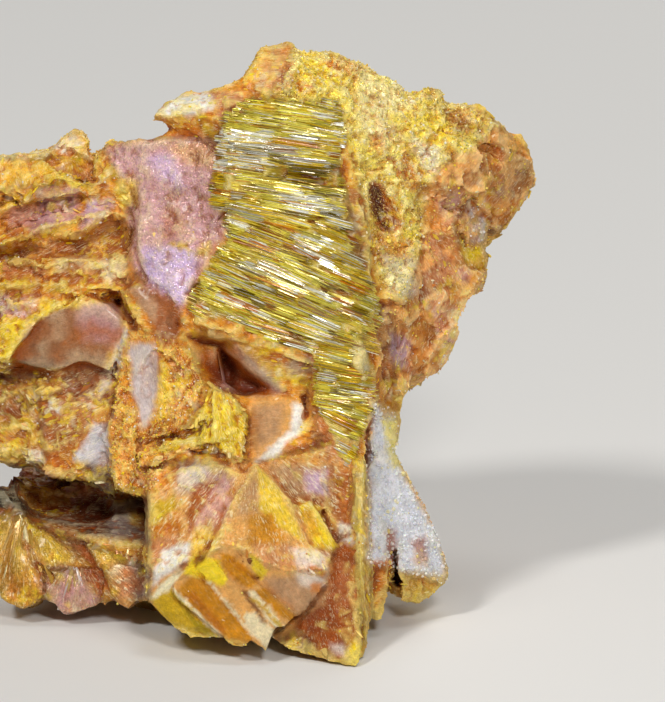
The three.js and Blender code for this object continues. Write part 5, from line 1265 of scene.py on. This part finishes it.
face_map = front_map(skin * MM, corners)
rng = np.random.default_rng(3)
root = spread_over(SLAB, RIBBON_COUNT, rng)
gone = sum(share * within(*root.T, outline, border) for outline, share, border in WORN_OFF)
gone += sum(CRACK_LOSS * nearness(*root.T, path, CRACK_WIDTH) for path in CRACKS)
root = root[rng.random(len(root)) > gone]
count = len(root)
fall = np.interp(root[:, 1], FALL_DROPS, FALL_SLOPES) + FALL_SHAKE * rng.normal(size=count)
heading = np.stack([np.ones(count), fall], axis=1) / np.hypot(1, fall)[:, None]
reach = rng.uniform(*RIBBON_LENGTH, count) / 2
ragged = rng.uniform(*RAGGED_ENDS, count)
for _ in range(SHORTEN_ROUNDS):
    tips = [root + side * heading * reach[:, None] for side in (-1, 1)]
    outside = sum(within(*tip.T, SLAB, 0.8) < ragged for tip in tips)
    reach = np.where(outside > 0, reach * SHORTEN_TO, reach)
silk_names = list(SILK)
silk = rng.choice(len(SILK), count, p=SILK_ODDS)
pale = within(*root.T, PALE_TOP, 0.6) * (rng.random(count) < 0.6)
silk = np.where(pale > 0.4, silk_names.index("pale"), silk)
# Painted glint: most fibres in these patches turned near white.
painted_glint = within(*root.T, GLINT_PATCH, 0.6) + within(*root.T, GLINT_STREAK, 0.3)
silk = np.where((painted_glint > 0.4) & (rng.random(count) < 0.8), silk_names.index("painted_glint"), silk)
# Painted shade: the fibres in the recess all olive.
recessed = within(*root.T, RECESS, 0.2)
silk = np.where(recessed > 0.5, silk_names.index("olive"), silk)


def each(values):
    """A ribbon's value for each of its fibres."""
    return np.repeat(values, FIBRES_EACH, axis=0)


total = count * FIBRES_EACH
lane = np.tile(np.arange(FIBRES_EACH) - (FIBRES_EACH - 1) / 2, count)
offset = lane * each(rng.uniform(*FIBRE_SPACING, count)) + rng.normal(0, FIBRE_JITTER, total)
first = -1 + rng.beta(1, 4, total) * 0.8
last = 1 - rng.beta(1, 4, total) * 0.8
station = first[:, None] + (last - first)[:, None] * np.linspace(0, 1, FIBRE_STATIONS)
run = station * each(reach)[:, None]
way = each(heading)
line_across = each(root[:, 0])[:, None] + way[:, :1] * run + way[:, 1:] * offset[:, None]
line_drop = each(root[:, 1])[:, None] + way[:, 1:] * run - way[:, :1] * offset[:, None]
level = face_height(line_across.ravel(), line_drop.ravel()).reshape(total, FIBRE_STATIONS)
for _ in range(2):
    padded = np.concatenate([level[:, :1], level, level[:, -1:]], axis=1)
    level = 0.25 * padded[:, :-2] + 0.5 * level + 0.25 * padded[:, 2:]
lift = each(rng.uniform(*RIBBON_LIFT, count)) + offset * each(rng.normal(0, RIBBON_SLOPE, count))
lift = lift + rng.normal(0, FIBRE_JITTER, total)
level = level + lift[:, None]
half = rng.uniform(*FIBRE_HALF_WIDTH, total)
taper = 1 - 0.5 * np.abs(np.linspace(-1, 1, FIBRE_STATIONS)) ** 4
band = np.stack([root[:, 0] / 2.2, root[:, 1] / 0.9, np.zeros(count)], axis=1)
tilt = 2.0 * swell(band, 1.0, 161) + rng.normal(0, 0.2, count)
tilt = np.where(painted_glint > 0.4, 0.25 * tilt, tilt) + 0.9 * recessed
roll = GLINT_ROLL + each(tilt) + rng.normal(0, 0.26, total)
turn = roll[:, None] + 2 * np.pi * np.arange(FIBRE_SIDES) / FIBRE_SIDES + np.pi / 2
aside = (half[:, None] * np.cos(turn))[:, None, :] * taper[None, :, None]
upward = (0.8 * half[:, None] * np.sin(turn))[:, None, :] * taper[None, :, None]
ring_across = line_across[..., None] + way[:, None, 1:] * aside
ring_drop = line_drop[..., None] - way[:, None, :1] * aside
fibre_points, fibre_triangles = loft(place(ring_across, ring_drop, level[..., None] + upward))
silks = np.array([daylight(colour) for colour in SILK.values()])
own = rng.choice(len(SILK), total, p=SILK_ODDS)
fibre_light = blend(silks[each(silk)], silks[own], 0.85 * (rng.random(total) < 0.50))
fibre_light = fibre_light * rng.uniform(0.75, 1.1, (total, 1)) * each(rng.uniform(0.6, 1.15, (count, 1)))
fibre_mesh = closed_mesh("golden_fibres", fibre_points, fibre_triangles)
store_on_points(fibre_mesh, "tint", np.repeat(fibre_light, FIBRE_STATIONS * FIBRE_SIDES, axis=0))
finish, begin, shader = start_finish("golden_silk")
mottle = begin.node("ShaderNodeTexCoord", {}, {}, "Object").noise(3200, 3, 0.6)
feed(shader, {
    "Base Color": begin.kept("tint", "Color").mixed(0.7 + 0.6 * mottle, 1.0, "MULTIPLY"),
    "Roughness": 0.12 + 0.22 * mottle,
    "Metallic": 0.15,
    "IOR": 1.8,
    "Normal": mottle.bumped(0.4, 0.05 * MM),
})
golden_fibres = show("golden_fibres", fibre_mesh, finish)
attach(golden_fibres, "root")

# Flakes
# Loose cleavage flakes of orpiment half sunk in the broken skin: thin six-sided plates about half a
# millimetre long, lying nearly along it, and finer, more tilted scales on the crust.
FLAKE_SIDES = 6
# Half sizes are drawn from a gamma spread, given by its shape and its step in mm, and kept in a range.
FRONT_FLAKES = 2600
BACK_FLAKES = 1800
CRUST_SCALES = 5000
FRONT_SIZES = (4.0, 0.07)
BACK_SIZES = (4.0, 0.075)
FLAKE_HALF = (0.10, 1.5)
FLAKE_THICK = (0.10, 0.26)
FLAKE_LEAN = 0.16
FLAKE_SINK = 0.62
FLAKE_SLIM = (0.16, 0.48)
SCALE_SIZES = (4.0, 0.034)
SCALE_HALF = (0.04, 0.36)
SCALE_LEAN = 0.45
SCALE_SINK = 0.45
SCALE_SLIM = (0.35, 0.8)
FLAKE_ROUGHNESS = 0.34
FLAKE_BARE = {
    "slab": 1.0, "conchoid": 1.0, "amber": 1.0, "facet": 1.0, "calcite": 1.0, "cave": 1.0, "fissure": 1.0,
    "panel": 1.0, "quartz": 1.0, "shard": 1.0, "slats": 0.95, "pink": 0.9, "wedge": 0.8, "ridge": 0.8,
    "foot": 0.8, "head": 0.7, "shoulder": 0.6, "rib": 0.5,
}
FLAKE_LIGHTS = [("lemon", 0.5, 0.0, 0.25), ("cream", 0.4, 0.25, 0.42), ("orange", 0.5, 0.42, 0.55)]
SCALE_LIGHTS = [("crust", 0.5, 0.0, 0.55), ("cream", 0.75, 0.55, 0.80), ("orange", 0.4, 0.96, 1.0)]


def pick(count, liking, rng):
    """Skin points at random: the chance of each is the skin area round it times the liking."""
    odds = skin_area * np.maximum(liking, 0)
    return rng.choice(len(odds), count, p=odds / odds.sum())


def lay(normals, lean, rng, run=None):
    """Three square axes for pieces on the skin: up is the normal tipped by a random vector of length lean,
    side is the run given, or a random vector, less its part along up, and ahead is up crossed with side."""
    up = normals + rng.normal(size=normals.shape) * np.reshape(lean, (-1, 1))
    up /= np.linalg.norm(up, axis=1, keepdims=True)
    side = rng.normal(size=normals.shape)
    side = side if run is None else run + 0.18 * side
    side -= up * (side * up).sum(axis=1, keepdims=True)
    side /= np.linalg.norm(side, axis=1, keepdims=True)
    return side, np.cross(up, side), up


def plates(home, axes, half, thick, sink, slim, rng):
    """Thin plates: a six-sided rim of uneven radius, squeezed by a random share in the slim range, once low
    and once high and a little smaller."""
    side, ahead, up = axes
    count = len(home)
    corner = np.arange(FLAKE_SIDES) + rng.uniform(-0.3, 0.3, (count, FLAKE_SIDES))
    angle = 2 * np.pi * corner / FLAKE_SIDES
    radius = half[:, None] * rng.uniform(0.55, 1.25, (count, FLAKE_SIDES))
    stretch = rng.uniform(*slim, (count, 1))
    rim = (side[:, None] * (radius * np.cos(angle))[..., None]
           + ahead[:, None] * (radius * stretch * np.sin(angle))[..., None])
    low = home[:, None] - up[:, None] * (sink * thick)[:, None, None] + rim
    high = home[:, None] + up[:, None] * ((1 - sink) * thick)[:, None, None] + rim * 0.9
    return np.stack([low, high], axis=1)


def dappled(light, draw, lights):
    """Lights turned towards minerals: each entry gives a mineral, its share and the draws that take it."""
    for mineral, share, low, high in lights:
        light = blend(light, LIGHT[mineral], share * ((draw >= low) & (draw < high)))
    return light


rng = np.random.default_rng(5)
bare = np.clip(sum(share * zone[name] for name, share in FLAKE_BARE.items()), 0, 1)
above = ease(0.6, 1.6, skin[:, 2])
liking = front * (1 - bare) * above * (1 + 3 * zone["lemon"]) * (1 - 0.8 * zone["crust"])
front_spots = pick(FRONT_FLAKES, liking, rng)
back_spots = pick(BACK_FLAKES, (1 - front) * above, rng)
spots = np.concatenate([front_spots, back_spots])
half = np.concatenate([rng.gamma(*FRONT_SIZES, FRONT_FLAKES), rng.gamma(*BACK_SIZES, BACK_FLAKES)])
half = np.clip(half, *FLAKE_HALF)
thick = 0.05 + half * rng.uniform(*FLAKE_THICK, len(half))
down = place(0.0, np.array(1.0), 0.0) - place(0.0, np.array(0.0), 0.0)
run = np.cos(lie[spots])[:, None] * np.array([1.0, 0.0, 0.0]) + np.sin(lie[spots])[:, None] * down / MM
axes = lay(normal[spots], FLAKE_LEAN, rng, run)
rings = plates(skin[spots], axes, half, thick, FLAKE_SINK, FLAKE_SLIM, rng)
scaly = zone["crust"] * (1 - zone["fissure"]) + 0.15 * zone["shoulder"]
scale_spots = pick(CRUST_SCALES, scaly, rng)
scale_half = np.clip(rng.gamma(*SCALE_SIZES, CRUST_SCALES), *SCALE_HALF)
scale_thick = 0.02 + 0.20 * scale_half
scale_axes = lay(normal[scale_spots], SCALE_LEAN, rng)
scales = plates(skin[scale_spots], scale_axes, scale_half, scale_thick, SCALE_SINK, SCALE_SLIM, rng)
flake_points, flake_triangles = loft(np.concatenate([rings, scales]) * MM)
flake_points[:, 2] = np.maximum(flake_points[:, 2], 0)
flake_light = dappled(tint[spots], rng.random(len(spots)), FLAKE_LIGHTS)
scale_light = dappled(tint[scale_spots], rng.random(CRUST_SCALES), SCALE_LIGHTS)
flake_light = np.concatenate([flake_light, scale_light])
flake_light = flake_light * rng.uniform(0.8, 1.15, (len(flake_light), 1))
flake_mesh = closed_mesh("flakes", flake_points, flake_triangles)
store_on_points(flake_mesh, "tint", np.repeat(flake_light, 2 * FLAKE_SIDES, axis=0))


def crumbly_finish(name, roughness, metallic, bump_depth):
    """A finish for loose bits: their own tint, mottled and grained at a quarter of a millimetre."""
    finish, begin, shader = start_finish(name)
    mottle = begin.node("ShaderNodeTexCoord", {}, {}, "Object").noise(4200, 4, 0.65)
    feed(shader, {
        "Base Color": begin.kept("tint", "Color").mixed(0.66 + 0.68 * mottle, 1.0, "MULTIPLY"),
        "Roughness": roughness - 0.12 + 0.24 * mottle,
        "Metallic": metallic,
        "Normal": mottle.bumped(0.6, bump_depth * MM),
        "Subsurface Weight": 0.15,
        "Subsurface Radius": UNDER_SKIN,
        "Subsurface Scale": 0.5 * MM,
        "Specular IOR Level": 0.35,
    })
    return finish


flakes = show("flakes", flake_mesh, crumbly_finish("flake_sheen", FLAKE_ROUGHNESS, 0.08, 0.06))
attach(flakes, "root")

# Crust grains
# Crumbs of powdery orpiment and realgar that coat the crust, the column and the broken edges:
# five-sided pebbles about a seventh of a millimetre across, stuck to the skin where they grew.
GRAIN_COUNT = 6000
GRAIN_SIDES = 5
GRAIN_RINGS = ((-0.75, 0.55), (0.05, 1.0), (0.75, 0.50))
GRAIN_SIZES = (5.0, 0.014)
GRAIN_HALF = (0.03, 0.18)
GRAIN_LEAN = 0.6
GRAIN_LIFT = 0.04
GRAIN_LIGHTS = [("crust", 0.75, 0.0, 0.40), ("lemon", 0.85, 0.40, 0.62), ("frost", 0.80, 0.62, 0.78),
                ("orange", 0.70, 0.78, 0.86)]


def pebbles(home, axes, half, rng):
    """Uneven pebbles: five-sided rings, narrow, wide and narrow again, up an axis, each radius and height
    shaken."""
    side, ahead, up = axes
    count = len(home)
    angle = 2 * np.pi * np.arange(GRAIN_SIDES) / GRAIN_SIDES
    angle = angle + rng.uniform(-0.25, 0.25, (count, GRAIN_SIDES))
    rings = []
    for level, width in GRAIN_RINGS:
        radius = half[:, None] * width * rng.uniform(0.7, 1.25, (count, GRAIN_SIDES))
        height = half[:, None] * (level + rng.uniform(-0.15, 0.15, (count, GRAIN_SIDES)))
        rings.append(home[:, None] + side[:, None] * (radius * np.cos(angle))[..., None]
                     + ahead[:, None] * (radius * np.sin(angle))[..., None]
                     + up[:, None] * height[..., None])
    return np.stack(rings, axis=1)


rng = np.random.default_rng(7)
liking = 0.30 * zone["crust"] * (1 - zone["fissure"]) + 0.8 * zone["column"] * (1 - zone["quartz"])
liking = liking + 0.12 * zone["shoulder"] + 0.12 * front * (1 - bare) + 0.05 * (1 - front)
spots = pick(GRAIN_COUNT, liking * above * (0.4 + ease(-0.05, 0.1, crest)), rng)
half = np.clip(rng.gamma(*GRAIN_SIZES, GRAIN_COUNT), *GRAIN_HALF)
axes = lay(normal[spots], GRAIN_LEAN, rng)
home = skin[spots] + normal[spots] * GRAIN_LIFT
grain_points, grain_triangles = loft(pebbles(home, axes, half, rng) * MM)
grain_light = dappled(tint[spots], rng.random(GRAIN_COUNT), GRAIN_LIGHTS)
grain_mesh = closed_mesh("crust_grains", grain_points, grain_triangles)
store_on_points(grain_mesh, "tint", np.repeat(grain_light, len(GRAIN_RINGS) * GRAIN_SIDES, axis=0))
crust_grains = show("crust_grains", grain_mesh, crumbly_finish("crust_powder", 0.45, 0.0, 0.05))
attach(crust_grains, "root")

# Blades
# Ribbed leaves of orpiment at the west foot, bronze, mauve and rose: each leaf is a fan of glossy
# folds, long lenses half sunk in the mass, that spread like a curtain from where the leaf springs.
BLADE_STATIONS = 9
BLADE_SIDES = 6
FACE_DEPTH = -18.0
FACE_STEP = 1.8
BLADE_FLATNESS = 0.6
FANS = [
    {"root": (2.2, 51.2), "jitter": 0.4, "spread": (1.15, 2.15), "start": (0.2, 2.4), "length": (4.0, 7.4),
     "half": (0.14, 0.36), "count": 46, "lights": "bronze"},
    {"root": (7.4, 56.0), "jitter": 0.4, "spread": (1.05, 2.20), "start": (0.2, 1.4), "length": (2.4, 4.6),
     "half": (0.13, 0.30), "count": 34, "lights": "mauve"},
    {"root": (11.8, 54.8), "jitter": 0.7, "spread": (1.05, 1.75), "start": (0.2, 1.8), "length": (2.4, 4.8),
     "half": (0.13, 0.30), "count": 32, "lights": "rose"},
    {"root": (-4.0, 50.6), "jitter": 1.2, "spread": (0.90, 2.20), "start": (0.4, 4.0), "length": (3.4, 6.6),
     "half": (0.14, 0.36), "count": 46, "lights": "bronze"},
]
# The leaves' colours: partly their own bronze, mauve and rose, partly painted highlight along the folds.
BLADE_LIGHTS = {
    "bronze": ((196, 152, 66), (176, 124, 44), (226, 206, 150), (206, 164, 96)),
    "mauve": ((190, 150, 136), (214, 196, 186), (176, 130, 90), (196, 160, 100)),
    "rose": ((196, 146, 96), (180, 124, 76), (214, 180, 116), (176, 136, 104)),
}


def fan(root, jitter, spread, start, length, half, count, lights, rng):
    """Blades of one fan: each starts some way out from near the root along a random direction in the
    spread, and its lens section, six points round, swells from the near end and runs out to a tip. Those
    that would leave the face or cross a tall step are left out."""
    angle = rng.uniform(*spread, count)
    heading = np.stack([np.cos(angle), np.sin(angle)], axis=1)
    along = np.linspace(0, 1, BLADE_STATIONS)
    way = rng.uniform(*start, count)[:, None] + rng.uniform(*length, count)[:, None] * along
    spring = np.array(root) + jitter * rng.normal(size=(count, 2))
    line = spring[:, None] + heading[:, None] * way[..., None]
    lie = face_height(line[..., 0].ravel(), line[..., 1].ravel()).reshape(count, BLADE_STATIONS)
    level = lie.mean(axis=1, keepdims=True) + (lie[:, -1:] - lie[:, :1]) * (along - 0.5) * 0.7
    steady = (lie.min(axis=1) > FACE_DEPTH) & (np.ptp(lie, axis=1) < FACE_STEP)
    lie = 0.6 * lie + 0.4 * level + rng.uniform(-0.22, -0.10, (count, 1)) - 0.15 * along ** 3
    width = rng.uniform(*half, count)[:, None] * np.sin(np.pi * (0.10 + 0.86 * along)) ** 0.6
    turn = 2 * np.pi * np.arange(BLADE_SIDES) / BLADE_SIDES
    tip_over = rng.normal(0, 0.25, count)[:, None, None]
    aside = width[..., None] * np.cos(turn)
    upward = BLADE_FLATNESS * width[..., None] * np.sin(turn) + aside * tip_over
    ring = place(line[..., 0, None] + heading[:, None, 1:] * aside,
                 line[..., 1, None] - heading[:, None, :1] * aside, lie[..., None] + upward)
    choices = daylight(BLADE_LIGHTS[lights])
    light = choices[rng.integers(len(choices), size=count)] * rng.uniform(0.85, 1.1, (count, 1))
    return ring[steady], np.repeat(light[steady], BLADE_STATIONS * BLADE_SIDES, axis=0)


rng = np.random.default_rng(9)
made = [fan(rng=rng, **one) for one in FANS]
blade_points, blade_triangles = loft(np.concatenate([ring for ring, _ in made]))
blade_points[:, 2] = np.maximum(blade_points[:, 2], 0)
blade_mesh = closed_mesh("blades", blade_points, blade_triangles)
store_on_points(blade_mesh, "tint", np.concatenate([light for _, light in made]))
blades = show("blades", blade_mesh, crumbly_finish("blade_lustre", 0.24, 0.20, 0.03))
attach(blades, "root")

# Calcite sugar
# The white fan at the lower right and a small patch of the shoulder are sugary: clear grains of
# calcite about a quarter of a millimetre across, grown into each other over the surface.
SUGAR_COUNT = 2600
SUGAR_SIZES = (5.0, 0.026)
SUGAR_HALF = (0.05, 0.30)
SUGAR_LIGHTS = [("frost", 0.6, 0.0, 0.5), ("crust", 0.5, 0.93, 1.0)]
SUGAR_PATCHES = [
    (1.0, CALCITE),
    (0.7, [(46.6, 20.4), (48.4, 20.2), (48.6, 24.6), (47.4, 24.8), (46.8, 22.4)]),
]
rng = np.random.default_rng(13)
liking = sum(share * within(across, drop, outline, 0.3) for share, outline in SUGAR_PATCHES) * front
spots = pick(SUGAR_COUNT, liking * above, rng)
half = np.clip(rng.gamma(*SUGAR_SIZES, SUGAR_COUNT), *SUGAR_HALF)
axes = lay(normal[spots], GRAIN_LEAN, rng)
sugar_points, sugar_triangles = loft(pebbles(skin[spots], axes, half, rng) * MM)
sugar_light = dappled(tint[spots], rng.random(SUGAR_COUNT), SUGAR_LIGHTS)
sugar_mesh = closed_mesh("calcite_sugar", sugar_points, sugar_triangles)
store_on_points(sugar_mesh, "tint", np.repeat(sugar_light, len(GRAIN_RINGS) * GRAIN_SIDES, axis=0))
calcite_sugar = show("calcite_sugar", sugar_mesh, crumbly_finish("sugar_sparkle", 0.26, 0.0, 0.04))
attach(calcite_sugar, "root")
